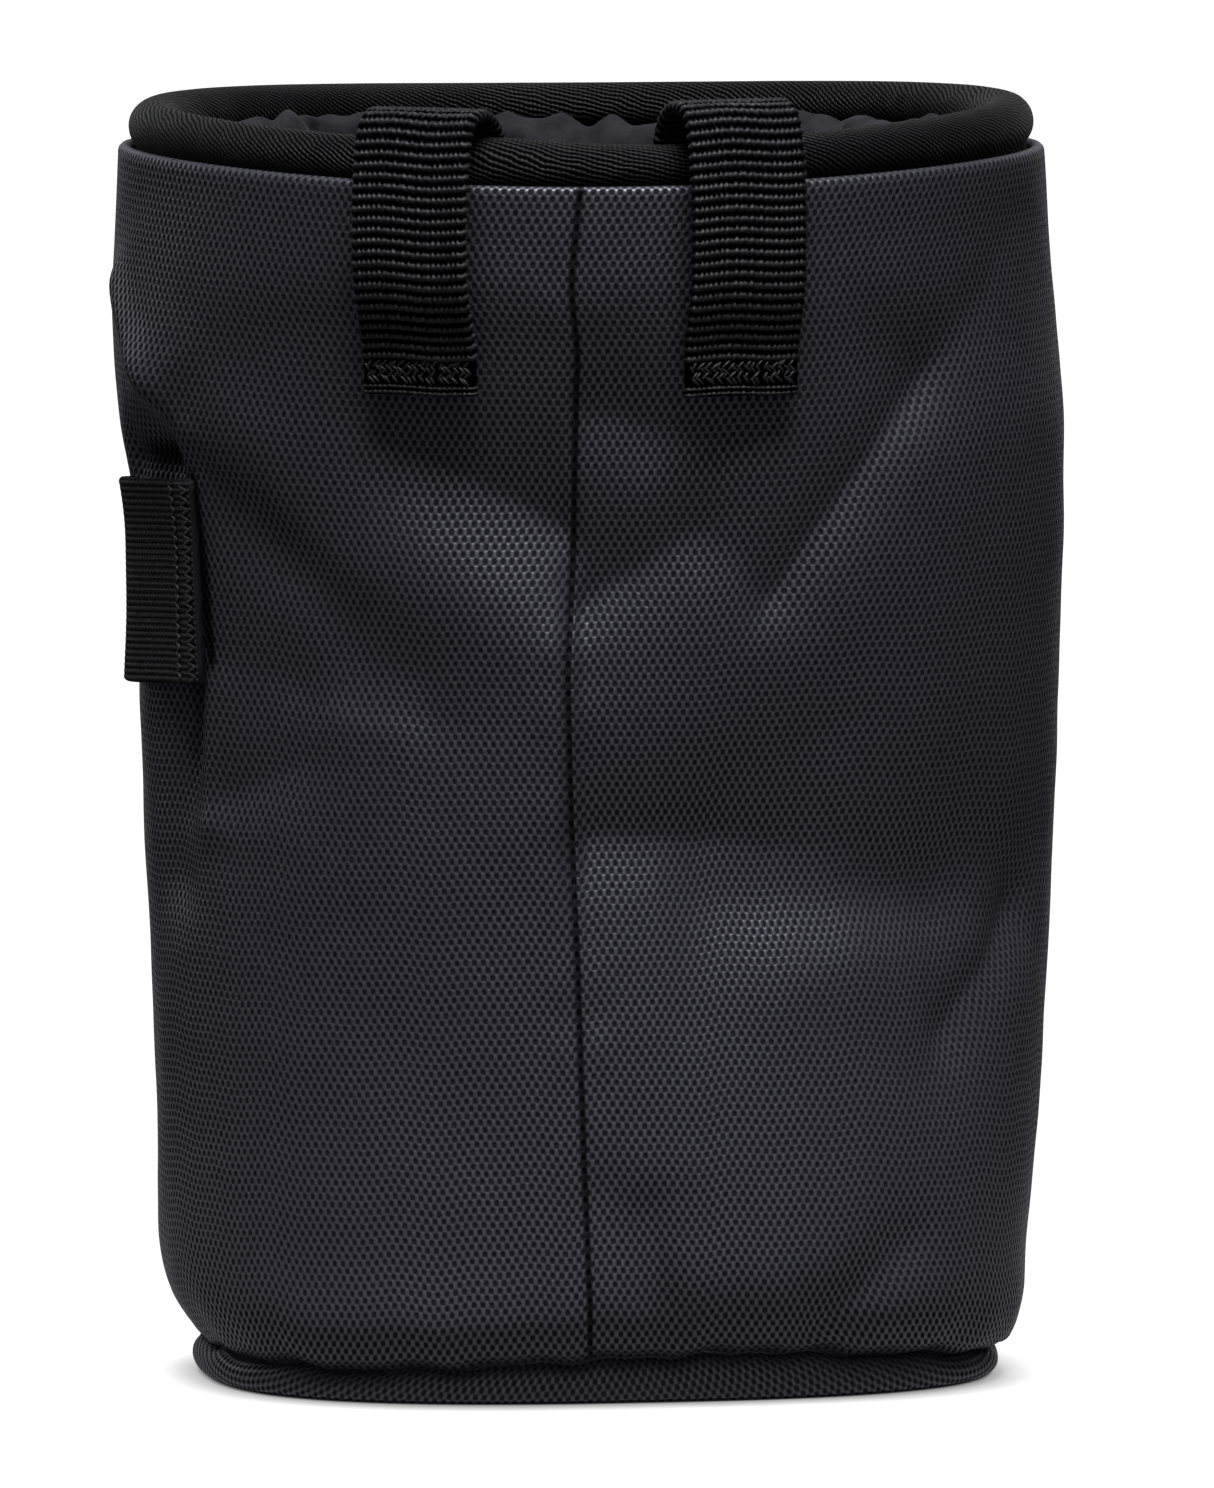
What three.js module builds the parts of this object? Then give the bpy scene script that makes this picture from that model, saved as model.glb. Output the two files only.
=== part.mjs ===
// A climber's chalk bag: an open cloth bucket with a stiffened rim, worn at the back on a waist belt.
// Millimetres, +Z up. The origin is the centre of the flat underside of the base, and -Y is the side with the
// belt loops, which faces the wearer. A turn is an angle round the bag, in degrees: 0 at -Y and 90 at +X.
import * as THREE from "three";
import { LoftGeometry } from "three/addons/geometries/LoftGeometry.js";

// The cloth body.
const bodyHeight = 157.7;
const bodyWidth = 122;
const bodyDepth = 106;
const clothWall = 1.8;
const foldDepth = 3;
const foldFade = 9;

// The base: a padded panel with a rolled edge.
const baseWidth = 103.8;
const baseDepth = 78;
const basePower = 2.6;
const baseThickness = 3;
const baseCrown = 0.5;
const baseRoll = 4;
const baseTwist = 10;

// The rim: a round cord in a tape whose edges run down inside the cloth.
const mouthWidth = 110.4;
const mouthDepth = 100;
const mouthShift = -1.8;
const rimTube = 6.8;
const rimAboveCloth = 2.5;
const rimSideLift = 2;
const rimFrontLift = 0.6;
const rimRightLift = 0.3;
const tapeThickness = 1.5;
const tapeOffset = 1.75;
const tapeDepth = 14;

// The two belt loops of webbing.
const loopWidth = 16;
const loopThickness = 1.4;
const loopDrop = 26.7;
const loopStandoff = 2.4;
const loopSewnEnd = 6;
const loopTable = [
  { name: "belt_loop_left", turn: -21.8, rise: 2.5 },
  { name: "belt_loop_right", turn: 21.4, rise: 3.4 },
];

// The elastic band that holds a brush.
const brushBandHeight = 26;
const brushBandLength = 41;
const brushBandThickness = 1.3;
const brushBandDrop = 40.5;
const brushBandTurn = -62;
const brushBandLean = 2.2;
const brushBandBulge = 0.4;

// The gathered collar inside the mouth.
const collarWall = 1;
const collarDrop = 40;
const collarCrest = -1.8;
const collarWaves = 14;
const collarWaveDepth = 3.2;

const seamGap = 0.35;
const turnSteps = 64;
const clothRows = 22;

// Sections of the cloth, each at a share of the way from the hem up to the mouth. base and mouth say how much
// a section follows those two outlines instead of the body's. left, right, back and front are shares of the
// half sizes that this gives.
const sectionTable = [
  { height: 0, base: 1, mouth: 0, left: 0.985, right: 1.02, back: 1, front: 1, power: 2.6 },
  { height: 0.035, base: 0.5, mouth: 0, left: 0.968, right: 0.985, back: 0.98, front: 0.98, power: 2.6 },
  { height: 0.075, base: 0, mouth: 0, left: 0.925, right: 0.918, back: 0.89, front: 0.89, power: 2.5 },
  { height: 0.195, base: 0, mouth: 0, left: 0.933, right: 0.948, back: 0.9, front: 0.9, power: 2.4 },
  { height: 0.38, base: 0, mouth: 0, left: 0.955, right: 0.977, back: 0.92, front: 0.93, power: 2.3 },
  { height: 0.535, base: 0, mouth: 0, left: 0.972, right: 0.989, back: 0.95, front: 0.97, power: 2.2 },
  { height: 0.69, base: 0, mouth: 0, left: 0.98, right: 0.998, back: 0.97, front: 0.98, power: 2.1 },
  { height: 0.775, base: 0, mouth: 0, left: 1.015, right: 0.997, back: 0.985, front: 0.99, power: 2.1 },
  { height: 0.855, base: 0, mouth: 0, left: 1.024, right: 0.98, back: 1.01, front: 1.01, power: 2 },
  { height: 1 - tapeDepth / bodyHeight, base: 0, mouth: 1, left: 1.008, right: 1.016, back: 1, front: 1, power: 2 },
  { height: 1, base: 0, mouth: 1, left: 1, right: 1, back: 1, front: 1, power: 2 },
];

// Folds, each pressed along a line from one place on the cloth to another. Heights are shares of the way up
// from the hem, widths are shares of the body's height, and lift is a share of the fold depth, negative where
// the cloth goes in.
const foldTable = [
  { fromTurn: -79, fromHeight: 0.886, toTurn: -62, toHeight: 0.773, width: 0.022, lift: 0.35 },
  { fromTurn: -62, fromHeight: 0.773, toTurn: -37, toHeight: 0.628, width: 0.035, lift: -0.35 },
  { fromTurn: -3, fromHeight: 0.7, toTurn: -27, toHeight: 0.762, width: 0.045, lift: -0.8 },
  { fromTurn: -24, fromHeight: 0.68, toTurn: -6, toHeight: 0.618, width: 0.06, lift: 0.45 },
  { fromTurn: -2, fromHeight: 0.654, toTurn: 14, toHeight: 0.7, width: 0.035, lift: -0.75 },
  { fromTurn: -1, fromHeight: 0.824, toTurn: 16, toHeight: 0.778, width: 0.03, lift: -0.25 },
  { fromTurn: 60, fromHeight: 0.928, toTurn: 28, toHeight: 0.649, width: 0.03, lift: 0.55 },
  { fromTurn: 61, fromHeight: 0.876, toTurn: 34, toHeight: 0.638, width: 0.045, lift: -0.65 },
  { fromTurn: -3, fromHeight: 0.429, toTurn: 16, toHeight: 0.442, width: 0.035, lift: -0.75 },
  { fromTurn: 20, fromHeight: 0.422, toTurn: 72, toHeight: 0.391, width: 0.05, lift: -0.6 },
  { fromTurn: 30, fromHeight: 0.339, toTurn: 62, toHeight: 0.349, width: 0.06, lift: 0.4 },
  { fromTurn: 75, fromHeight: 0.38, toTurn: 53, toHeight: 0.236, width: 0.03, lift: -0.55 },
  { fromTurn: -43, fromHeight: 0.587, toTurn: -28, toHeight: 0.587, width: 0.03, lift: -0.5 },
  { fromTurn: -68, fromHeight: 0.773, toTurn: -68, toHeight: 0.401, width: 0.035, lift: -0.6 },
  { fromTurn: -94, fromHeight: 0.711, toTurn: -94, toHeight: 0.655, width: 0.055, lift: -1 },
  { fromTurn: 2, fromHeight: 0.139, toTurn: 12, toHeight: 0.029, width: 0.03, lift: -0.35 },
  { fromTurn: 46, fromHeight: 0.094, toTurn: 37, toHeight: 0.029, width: 0.03, lift: -0.5 },
  { fromTurn: 95, fromHeight: 0.711, toTurn: 108, toHeight: 0.401, width: 0.04, lift: -0.45 },
  { fromTurn: 125, fromHeight: 0.773, toTurn: 165, toHeight: 0.608, width: 0.045, lift: -0.6 },
  { fromTurn: 175, fromHeight: 0.432, toTurn: 130, toHeight: 0.36, width: 0.05, lift: -0.65 },
  { fromTurn: -118, fromHeight: 0.845, toTurn: -160, toHeight: 0.649, width: 0.045, lift: -0.55 },
  { fromTurn: -165, fromHeight: 0.308, toTurn: -120, toHeight: 0.225, width: 0.045, lift: -0.5 },
  { fromTurn: -96, fromHeight: 0.484, toTurn: -112, toHeight: 0.277, width: 0.035, lift: -0.45 },
];

// How far the rolled edge, and the hem on it, rise above the roll's lowest height, as shares of that height.
const hemTable = [
  { turn: -180, lift: 0.15 },
  { turn: -110, lift: 0.2 },
  { turn: -75, lift: 0.16 },
  { turn: -38, lift: 0 },
  { turn: 0, lift: 0.39 },
  { turn: 32, lift: 0.54 },
  { turn: 75, lift: 0 },
  { turn: 120, lift: 0.1 },
  { turn: 180, lift: 0.15 },
];

const radians = THREE.MathUtils.degToRad;
const mix = THREE.MathUtils.lerp;
const ease = THREE.MathUtils.smoothstep;

const rimRadius = rimTube / 2;
const rimHeight = bodyHeight + rimAboveCloth;
// From the rim's centreline out to the cloth that the tape is sewn into.
const clothReach = tapeOffset + tapeThickness / 2 + seamGap + clothWall;
// Flat webbing stands off the curved mouth by the mouth's bow across the webbing's width.
const loopBow = loopWidth ** 2 / (4 * mouthDepth);

// The row of a table at a place along one of its columns, mixed from the rows on either side.
function rowAt(table, column, place) {
  let next = table.findIndex((row) => row[column] >= place);
  if (next === -1) next = table.length - 1;
  next = Math.max(next, 1);
  const [low, high] = [table[next - 1], table[next]];
  const share = THREE.MathUtils.clamp((place - low[column]) / (high[column] - low[column]), 0, 1);
  return Object.fromEntries(Object.keys(low).map((key) => [key, mix(low[key], high[key], share)]));
}

// Distance from an oval's centre to its edge at a turn. Its four half sizes differ.
function ovalRadius(turn, { left, right, back, front, power }) {
  const across = Math.sin(radians(turn));
  const toBack = Math.cos(radians(turn));
  const x = Math.abs(across) / (across < 0 ? left : right);
  const y = Math.abs(toBack) / (toBack < 0 ? front : back);
  return (x ** power + y ** power) ** (-1 / power);
}

function placeAt(turn, radius, z, shift = 0) {
  return new THREE.Vector3(
    radius * Math.sin(radians(turn)) + shift,
    -radius * Math.cos(radians(turn)),
    z,
  );
}

// Sideways rise of the rim and of the cloth's top edge.
function sideLift(turn) {
  return rimSideLift * Math.sin(radians(turn)) ** 2;
}

// Height of the rim's centreline, which also leans a little.
function rimLevel(turn) {
  const leanRise = rimRightLift * Math.sin(radians(turn)) - rimFrontLift * Math.cos(radians(turn));
  return rimHeight + sideLift(turn) + leanRise;
}

function rimLine(turn) {
  return ovalRadius(turn, {
    left: mouthWidth / 2,
    right: mouthWidth / 2,
    back: mouthDepth / 2,
    front: mouthDepth / 2,
    power: 2,
  });
}

// Top of the base's rolled edge at a turn. The hem sits just above it.
function rollHeight(turn) {
  const around = THREE.MathUtils.euclideanModulo(turn + 180, 360) - 180;
  return baseRoll * (1 + rowAt(hemTable, "turn", around).lift);
}

function baseRadius(turn) {
  return ovalRadius(turn - baseTwist, {
    left: baseWidth / 2,
    right: baseWidth / 2,
    back: baseDepth / 2,
    front: baseDepth / 2,
    power: basePower,
  });
}

// How far the folds push the cloth out at a turn and a height share.
function foldLift(turn, height) {
  let lift = 0;
  for (const fold of foldTable) {
    const offset = ((turn - fold.fromTurn + 540) % 360) - 180;
    const here = new THREE.Vector2(radians(offset) * (bodyWidth / 2), (height - fold.fromHeight) * bodyHeight);
    const line = new THREE.Vector2(
      radians(fold.toTurn - fold.fromTurn) * (bodyWidth / 2),
      (fold.toHeight - fold.fromHeight) * bodyHeight,
    );
    const along = THREE.MathUtils.clamp(here.dot(line) / line.lengthSq(), 0, 1);
    const away = here.distanceTo(line.multiplyScalar(along)) / (fold.width * bodyHeight);
    lift += fold.lift * foldDepth * Math.exp(-away * away);
  }
  // Below the rim's tape the cloth can go in, and beside the tape it can only go out.
  const belowTop = (1 - height) * bodyHeight - (lift < 0 ? tapeDepth : 0);
  return lift * ease(height * bodyHeight, 0, foldFade) * ease(belowTop, 0, foldFade);
}

// Outer surface of the cloth: its distance from the bag's middle line, and how far that line has shifted.
function clothOutline(turn, height) {
  const row = rowAt(sectionTable, "height", height);
  const body = 1 - row.base - row.mouth;
  const halfWidth =
    (body * bodyWidth + row.base * baseWidth + row.mouth * (mouthWidth + 2 * clothReach)) / 2;
  const halfDepth =
    (body * bodyDepth + row.base * baseDepth + row.mouth * (mouthDepth + 2 * clothReach)) / 2;
  const oval = {
    left: halfWidth * row.left,
    right: halfWidth * row.right,
    back: halfDepth * row.back,
    front: halfDepth * row.front,
    power: row.power,
  };
  return {
    radius: ovalRadius(turn - baseTwist * row.base, oval) + foldLift(turn, height),
    shift: mouthShift * row.mouth,
  };
}

function clothPoint(turn, z, inset) {
  const hem = rollHeight(turn) + seamGap;
  const height = (z - hem) / (bodyHeight - hem);
  const { radius, shift } = clothOutline(turn, height);
  return placeAt(turn, radius - inset, z + sideLift(turn) * height, shift);
}

// A closed ring lofted through the sections that sectionAt gives all the way round.
function ring(sectionAt, steps) {
  const sections = [];
  for (let step = 0; step <= steps; step++) {
    sections.push(sectionAt(((step % steps) * 360) / steps));
  }
  return new LoftGeometry(sections);
}

// A flat tape lofted along its length, with its ends closed.
function tape(sections) {
  return new LoftGeometry(sections, { capStart: true, capEnd: true });
}

function node(name, geometry, material) {
  const mesh = new THREE.Mesh(geometry, material);
  mesh.name = name;
  return mesh;
}

// The cloth body: one wall from the hem to the mouth, open at both ends.
function shellSection(turn) {
  const hem = rollHeight(turn) + seamGap;
  const round = clothWall / 4;
  const inner = [];
  const outer = [];
  for (let row = 0; row <= clothRows; row++) {
    const z = mix(hem + round, bodyHeight - round, row / clothRows);
    inner.push(clothPoint(turn, z, clothWall));
    outer.unshift(clothPoint(turn, z, 0));
  }
  const top = [clothPoint(turn, bodyHeight, clothWall - round), clothPoint(turn, bodyHeight, round)];
  const bottom = [clothPoint(turn, hem, round), clothPoint(turn, hem, clothWall - round)];
  return [...inner, ...top, ...outer, ...bottom];
}

// The base: a flat panel inside a rolled edge, whose top follows the hem.
function basePanel() {
  const roll = baseRoll / 2;
  const sections = [];
  const addRing = (inset, rise) => {
    const section = [];
    for (let step = 0; step < turnSteps; step++) {
      const turn = (step * 360) / turnSteps;
      section.push(placeAt(turn, baseRadius(turn) - inset, rise(turn)));
    }
    sections.push(section);
  };
  for (let angle = -90; angle <= 90; angle += 45) {
    const share = (1 + Math.sin(radians(angle))) / 2;
    addRing(roll * (1 - Math.cos(radians(angle))), (turn) => rollHeight(turn) * share);
  }
  addRing(2 * roll, () => baseThickness);
  addRing(5 * roll, () => baseThickness + baseCrown);
  return new LoftGeometry(sections, { capStart: true, capEnd: true });
}

// The rim: a round cord, with the edges of its tape as a wall below it.
function rimSection(turn) {
  const line = rimLine(turn);
  const z = rimLevel(turn);
  const tapeInner = tapeOffset - tapeThickness / 2;
  const tapeOuter = tapeOffset + tapeThickness / 2;
  const start = 1.5 * Math.PI + Math.asin(tapeInner / rimRadius);
  const end = Math.asin(tapeOuter / rimRadius) - Math.PI / 2;
  const cordSteps = 9;
  const points = [
    placeAt(turn, line + tapeOuter, z - tapeDepth, mouthShift),
    placeAt(turn, line + tapeInner, z - tapeDepth, mouthShift),
  ];
  for (let step = 0; step <= cordSteps; step++) {
    const angle = mix(start, end, step / cordSteps);
    points.push(
      placeAt(turn, line + rimRadius * Math.cos(angle), z + rimRadius * Math.sin(angle), mouthShift),
    );
  }
  return points;
}

// The collar: thin cloth that swells behind the rim and then hangs into the bag in ruffles. Its line goes
// from the tape over the crest to the free edge, and out and up are shares of the sizes they follow.
function collarSection(turn) {
  const line = rimLine(turn);
  const z = rimLevel(turn);
  const start = tapeOffset - tapeThickness / 2 - seamGap - collarWall / 2;
  const clear = rimRadius + loopThickness + 3 * seamGap + loopBow + collarWall / 2;
  const ruffle = (1 - Math.cos(radians(turn * collarWaves))) / 2;
  const path = new THREE.CatmullRomCurve3(
    [
      { out: start, up: collarWall - tapeDepth, wave: 0 },
      { out: -clear * 0.7, up: -tapeDepth * 0.6, wave: 0.1 },
      { out: -clear, up: collarCrest - 2.5 * collarWall, wave: 0.2 },
      { out: -clear - 2 * collarWall, up: collarCrest, wave: 0.5 },
      { out: -clear - 4.5 * collarWall, up: collarCrest - 1.5 * collarWall, wave: 0.8 },
      { out: -clear - 6 * collarWall, up: collarCrest - collarDrop * 0.25, wave: 1 },
      { out: -clear - 5 * collarWall, up: collarCrest - collarDrop * 0.6, wave: 1 },
      { out: -clear - 3 * collarWall, up: collarCrest - collarDrop, wave: 0.8 },
    ].map(({ out, up, wave }) => new THREE.Vector3(out - wave * ruffle * collarWaveDepth, up, 0)),
  );
  const steps = 7;
  const [near, far] = [[], []];
  for (let step = 0; step <= steps; step++) {
    const here = path.getPoint(step / steps);
    const tangent = path.getTangent(step / steps);
    const side = new THREE.Vector3(-tangent.y, tangent.x, 0).multiplyScalar(collarWall / 2);
    near.push(placeAt(turn, line + here.x + side.x, z + here.y + side.y, mouthShift));
    far.unshift(placeAt(turn, line + here.x - side.x, z + here.y - side.y, mouthShift));
  }
  return [...near, ...far];
}

// A belt loop: webbing sewn to the tape inside the mouth, arched over the rim and sewn to the cloth outside.
function beltLoop({ turn, rise }) {
  const line = rimLine(turn);
  const z = rimLevel(turn);
  const half = loopThickness / 2;
  const besideRim = rimRadius + seamGap + loopBow + half;
  const outward = placeAt(turn, 1, 0);
  const middle = new THREE.Vector3(mouthShift, 0, 0);
  // How far out from the rim's line the cloth's highest place behind the webbing is.
  const clothAt = (height) => {
    const reaches = [-1, -0.5, 0, 0.5, 1].map((share) => {
      const spot = turn + THREE.MathUtils.radToDeg((share * loopWidth) / 2 / line);
      return clothPoint(spot, height, 0).sub(middle).dot(outward) - line;
    });
    return Math.max(...reaches);
  };
  const sewn = (height) => clothAt(height) + seamGap + half;
  const lowest = bodyHeight - loopDrop;
  const edge = bodyHeight - z;
  const standing = clothAt(bodyHeight - loopDrop / 3) + loopStandoff + half;
  const top = rimRadius + rise + half;
  const route = new THREE.CatmullRomCurve3(
    [
      [tapeOffset - tapeThickness / 2 - seamGap - loopBow - half, -tapeDepth * 0.62],
      [-besideRim * 0.62, -rimRadius - half - seamGap * 2],
      [-besideRim - seamGap, -rimRadius * 0.2],
      [-besideRim * 0.9, rimRadius * 0.8 + rise / 2],
      [0, top],
      [standing * 0.72, top - rise * 0.4],
      [standing, edge],
      [standing, edge - loopDrop * 0.45],
      [sewn(lowest + loopSewnEnd), lowest + loopSewnEnd - z],
      [sewn(lowest), lowest - z],
    ].map(([out, up]) => new THREE.Vector3(out, up, 0)),
    false,
    "catmullrom",
    0.5,
  );
  const steps = 26;
  const along = placeAt(turn + 90, 1, 0);
  const sections = [];
  for (let step = 0; step <= steps; step++) {
    const here = route.getPointAt(step / steps);
    const tangent = route.getTangentAt(step / steps);
    const corner = (face, edge) => {
      const out = here.x - face * half * tangent.y;
      const up = here.y + face * half * tangent.x;
      return placeAt(turn, line + out, z + up, mouthShift).addScaledVector(along, (edge * loopWidth) / 2);
    };
    sections.push([corner(-1, -1), corner(-1, 1), corner(1, 1), corner(1, -1)]);
  }
  return tape(sections);
}

// The brush band: elastic sewn to the cloth at its two ends, and standing off it between them.
function brushBand() {
  const top = bodyHeight - brushBandDrop;
  const steps = 14;
  const heightSteps = 4;
  const sections = [];
  for (let step = 0; step <= steps; step++) {
    const share = step / steps;
    const turn = brushBandTurn - THREE.MathUtils.radToDeg((share * brushBandLength) / (bodyWidth / 2));
    const lean = THREE.MathUtils.radToDeg(brushBandLean / (bodyWidth / 2));
    const standoff = seamGap + brushBandBulge * Math.sin(Math.PI * share);
    // The band is stretched flat over the hollow in the cloth, so it follows the cloth's edges there.
    const face = (thickness, rising) => {
      const points = [];
      for (let level = 0; level <= heightSteps; level++) {
        const height = level / heightSteps;
        const z = mix(top - brushBandHeight, top, rising ? height : 1 - height);
        const leaning = rising ? 1 - height : height;
        points.push(clothPoint(turn + leaning * lean, z, -standoff - thickness));
      }
      return points;
    };
    sections.push([...face(0, true), ...face(brushBandThickness, false)].reverse());
  }
  return tape(sections);
}

// Finishes.
const cloth = new THREE.MeshStandardMaterial({ color: 0x26262b, roughness: 0.75, metalness: 0 });
const rimTape = new THREE.MeshStandardMaterial({ color: 0x161618, roughness: 0.8, metalness: 0 });
const webbing = new THREE.MeshStandardMaterial({ color: 0x121214, roughness: 0.75, metalness: 0 });
const elastic = new THREE.MeshStandardMaterial({ color: 0x18181a, roughness: 0.85, metalness: 0 });
const collarCloth = new THREE.MeshStandardMaterial({ color: 0x2e2e32, roughness: 0.6, metalness: 0 });

const bag = new THREE.Group();
bag.add(node("shell", ring(shellSection, turnSteps), cloth));
bag.add(node("base_panel", basePanel(), cloth));
bag.add(node("rim", ring(rimSection, turnSteps), rimTape));
bag.add(node("collar", ring(collarSection, collarWaves * 5), collarCloth));
for (const loop of loopTable) bag.add(node(loop.name, beltLoop(loop), webbing));
bag.add(node("brush_band", brushBand(), elastic));

export default bag;
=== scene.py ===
# %% [markdown]
# # A climbing chalk bag
# A climber dips a hand into this bag for chalk. It is a bucket of coated polyester cloth with a stiff rim,
# a padded base, two belt loops of webbing, an elastic band for a brush, and a gathered collar inside the
# mouth. The lesson dresses the plain solids of the frame with real cloth: each piece takes the place of its
# solid, and the camera stands where the photograph was taken, low behind the bag.

# %% Load the frame
import math

import bmesh
import bpy
import numpy as np
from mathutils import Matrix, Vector, noise


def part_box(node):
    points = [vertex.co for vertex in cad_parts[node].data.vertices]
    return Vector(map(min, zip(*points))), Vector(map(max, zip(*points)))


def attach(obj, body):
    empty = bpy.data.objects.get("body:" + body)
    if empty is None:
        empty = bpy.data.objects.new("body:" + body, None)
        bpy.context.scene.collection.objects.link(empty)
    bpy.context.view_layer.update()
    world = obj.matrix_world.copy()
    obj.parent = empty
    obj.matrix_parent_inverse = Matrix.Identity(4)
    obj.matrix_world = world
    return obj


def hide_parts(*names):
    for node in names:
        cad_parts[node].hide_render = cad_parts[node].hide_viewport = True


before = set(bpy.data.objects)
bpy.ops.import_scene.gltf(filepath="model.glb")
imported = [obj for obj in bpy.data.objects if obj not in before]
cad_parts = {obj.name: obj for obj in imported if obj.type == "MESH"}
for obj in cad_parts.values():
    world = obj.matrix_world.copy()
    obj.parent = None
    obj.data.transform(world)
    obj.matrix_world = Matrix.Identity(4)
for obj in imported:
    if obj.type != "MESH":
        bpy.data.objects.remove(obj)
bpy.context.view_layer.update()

MM = 0.001
shell_low, shell_high = (np.array(corner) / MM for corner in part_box("shell"))
rim_low, rim_high = (np.array(corner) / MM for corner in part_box("rim"))
print("the frame holds", ", ".join(sorted(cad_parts)))

# %% [markdown]
# ## The camera
# A product photograph like this is taken from a few metres away with a long lens, so that the bag shows
# almost no perspective. The lens is worked out from the distance and from how much of the frame the bag
# fills.

# %% The camera
CAMERA_DISTANCE = 3.4
CAMERA_HEIGHT = 0.3914
CAMERA_SIDE = 0.00155
CAMERA_PITCH = 5.206
IMAGE_HEIGHT = 1488
PIXELS_PER_RADIAN = 26357
SENSOR = 36


def place_in_scene(name, data):
    """Put a camera, a mesh or a light into the scene."""
    thing = bpy.data.objects.new(name, data)
    bpy.context.scene.collection.objects.link(thing)
    return thing


camera = place_in_scene("camera", bpy.data.cameras.new("camera"))
camera.location = (CAMERA_SIDE, -CAMERA_DISTANCE, CAMERA_HEIGHT)
camera.rotation_euler = (math.radians(90 - CAMERA_PITCH), 0, 0)
camera.data.sensor_fit = "AUTO"
camera.data.sensor_width = SENSOR
camera.data.lens = SENSOR * PIXELS_PER_RADIAN / IMAGE_HEIGHT
camera.data.clip_start = 0.1
camera.data.clip_end = 100
bpy.context.scene.camera = camera
print("the lens is", round(camera.data.lens), "mm long")

# %% [markdown]
# ## Sizes
# All shapes are worked out in millimetres, as a pattern cutter would note them, and turned to metres when a
# mesh is made. Heights and widths that the frame already holds are read from it. A turn is an angle round
# the bag in degrees: 0 is the back, which faces the camera, and 90 is its right.

# %% Sizes of the bag
BODY_WIDTH = 122
BODY_DEPTH = 106
CLOTH_WALL = 1.8
BASE_WIDTH = 103.8
BASE_DEPTH = 78
BASE_POWER = 2.6
BASE_THICKNESS = 3
BASE_CROWN = 0.5
BASE_ROLL = 4
BASE_TWIST = 10
RIM_TUBE = 6.8
SIDE_LIFT = 2
RIM_FRONT_LIFT = 0.6
RIM_RIGHT_LIFT = 0.3
RIM_ABOVE_CLOTH = 2.5
TAPE_THICKNESS = 1.5
TAPE_OFFSET = 1.75
TAPE_DEPTH = 14
SEAM_GAP = 0.35
BAND_HEIGHT = 26
BAND_LENGTH = 41
BAND_THICKNESS = 1.3
BAND_DROP = 40.5
BAND_TURN = -60.8
BAND_LEAN = 2.2
BAND_TILT = 0.07
BAND_BULGE = 0.4

rim_size = rim_high - rim_low
mouth_width = rim_size[0] - RIM_TUBE
mouth_depth = rim_size[1] - RIM_TUBE
mouth_shift = (rim_high[0] + rim_low[0]) / 2
body_height = shell_high[2] - SIDE_LIFT
rim_height = body_height + RIM_ABOVE_CLOTH
TURN_TO_MM = math.radians(1) * BODY_WIDTH / 2
cloth_reach = TAPE_OFFSET + TAPE_THICKNESS / 2 + SEAM_GAP + CLOTH_WALL
print("the mouth is", round(mouth_width, 1), "by", round(mouth_depth, 1), "mm")
print("the body is", round(body_height, 1), "mm tall")


# %% [markdown]
# ## Shapes from short tables
# The bag is soft, but its outline is regular: an oval that changes from the rounded box of the base to the
# wide mouth. A short table of sections, mixed smoothly from one to the next, says all of it.

# %% Tables and ovals
def table(names, rows):
    """Columns of a table by their names."""
    return dict(zip(names.split(), np.array(rows, dtype=float).T))


SECTIONS = table("height base mouth left right back front power", [
    (0, 1, 0, 0.985, 1.02, 1, 1, 2.6),
    (0.015, 0.786, 0, 0.978, 1.005, 1.07, 1.07, 2.6),
    (0.035, 0.5, 0, 0.968, 0.985, 1, 1, 2.6),
    (0.075, 0, 0, 0.925, 0.918, 0.89, 0.89, 2.5),
    (0.195, 0, 0, 0.933, 0.948, 0.9, 0.9, 2.4),
    (0.38, 0, 0, 0.955, 0.977, 0.92, 0.93, 2.3),
    (0.535, 0, 0, 0.972, 0.989, 0.95, 0.97, 2.2),
    (0.69, 0, 0, 0.98, 0.998, 0.97, 0.98, 2.1),
    (0.775, 0, 0, 1.015, 0.997, 0.985, 0.99, 2.1),
    (0.855, 0, 0, 1.024, 0.98, 1.01, 1.01, 2),
    (1 - TAPE_DEPTH / body_height, 0, 1, 1.008, 1.016, 1, 1, 2),
    (1, 0, 1, 1, 1, 1, 1, 2),
])
SECTION_BLEND = 0.022

# How far the hem rises above the base's lowest place, as shares of the roll's height.
HEM = table("turn lift", [
    (-180, 0.15), (-110, 0.2), (-75, 0.16), (-38, 0), (0, 0.39), (32, 0.54), (75, 0), (120, 0.1), (180, 0.15),
])


def ease(place, start, end):
    share = np.clip((place - start) / (end - start), 0, 1)
    return share * share * (3 - 2 * share)


def bell(away, reach, power=2):
    """1 in the middle, and almost nothing past its reach."""
    return np.exp(-((away / reach) ** power))


def oval(turn, left, right, back, front, power):
    """Distance from an oval's centre to its edge."""
    across, to_back = np.sin(np.radians(turn)), np.cos(np.radians(turn))
    x = np.abs(across) / np.where(across < 0, left, right)
    y = np.abs(to_back) / np.where(to_back < 0, front, back)
    return (x**power + y**power) ** (-1 / power)


def place_at(turn, radius, z, shift=0):
    turn, radius, z, shift = np.broadcast_arrays(turn, radius, z, shift)
    angle = np.radians(turn)
    return np.stack([radius * np.sin(angle) + shift, -radius * np.cos(angle), z], axis=-1)


def side_lift(turn):
    return SIDE_LIFT * np.sin(np.radians(turn)) ** 2


def rim_level(turn):
    """Height of the rim's middle line, which leans a little."""
    angle = np.radians(turn)
    return rim_height + side_lift(turn) + RIM_RIGHT_LIFT * np.sin(angle) - RIM_FRONT_LIFT * np.cos(angle)


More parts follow.
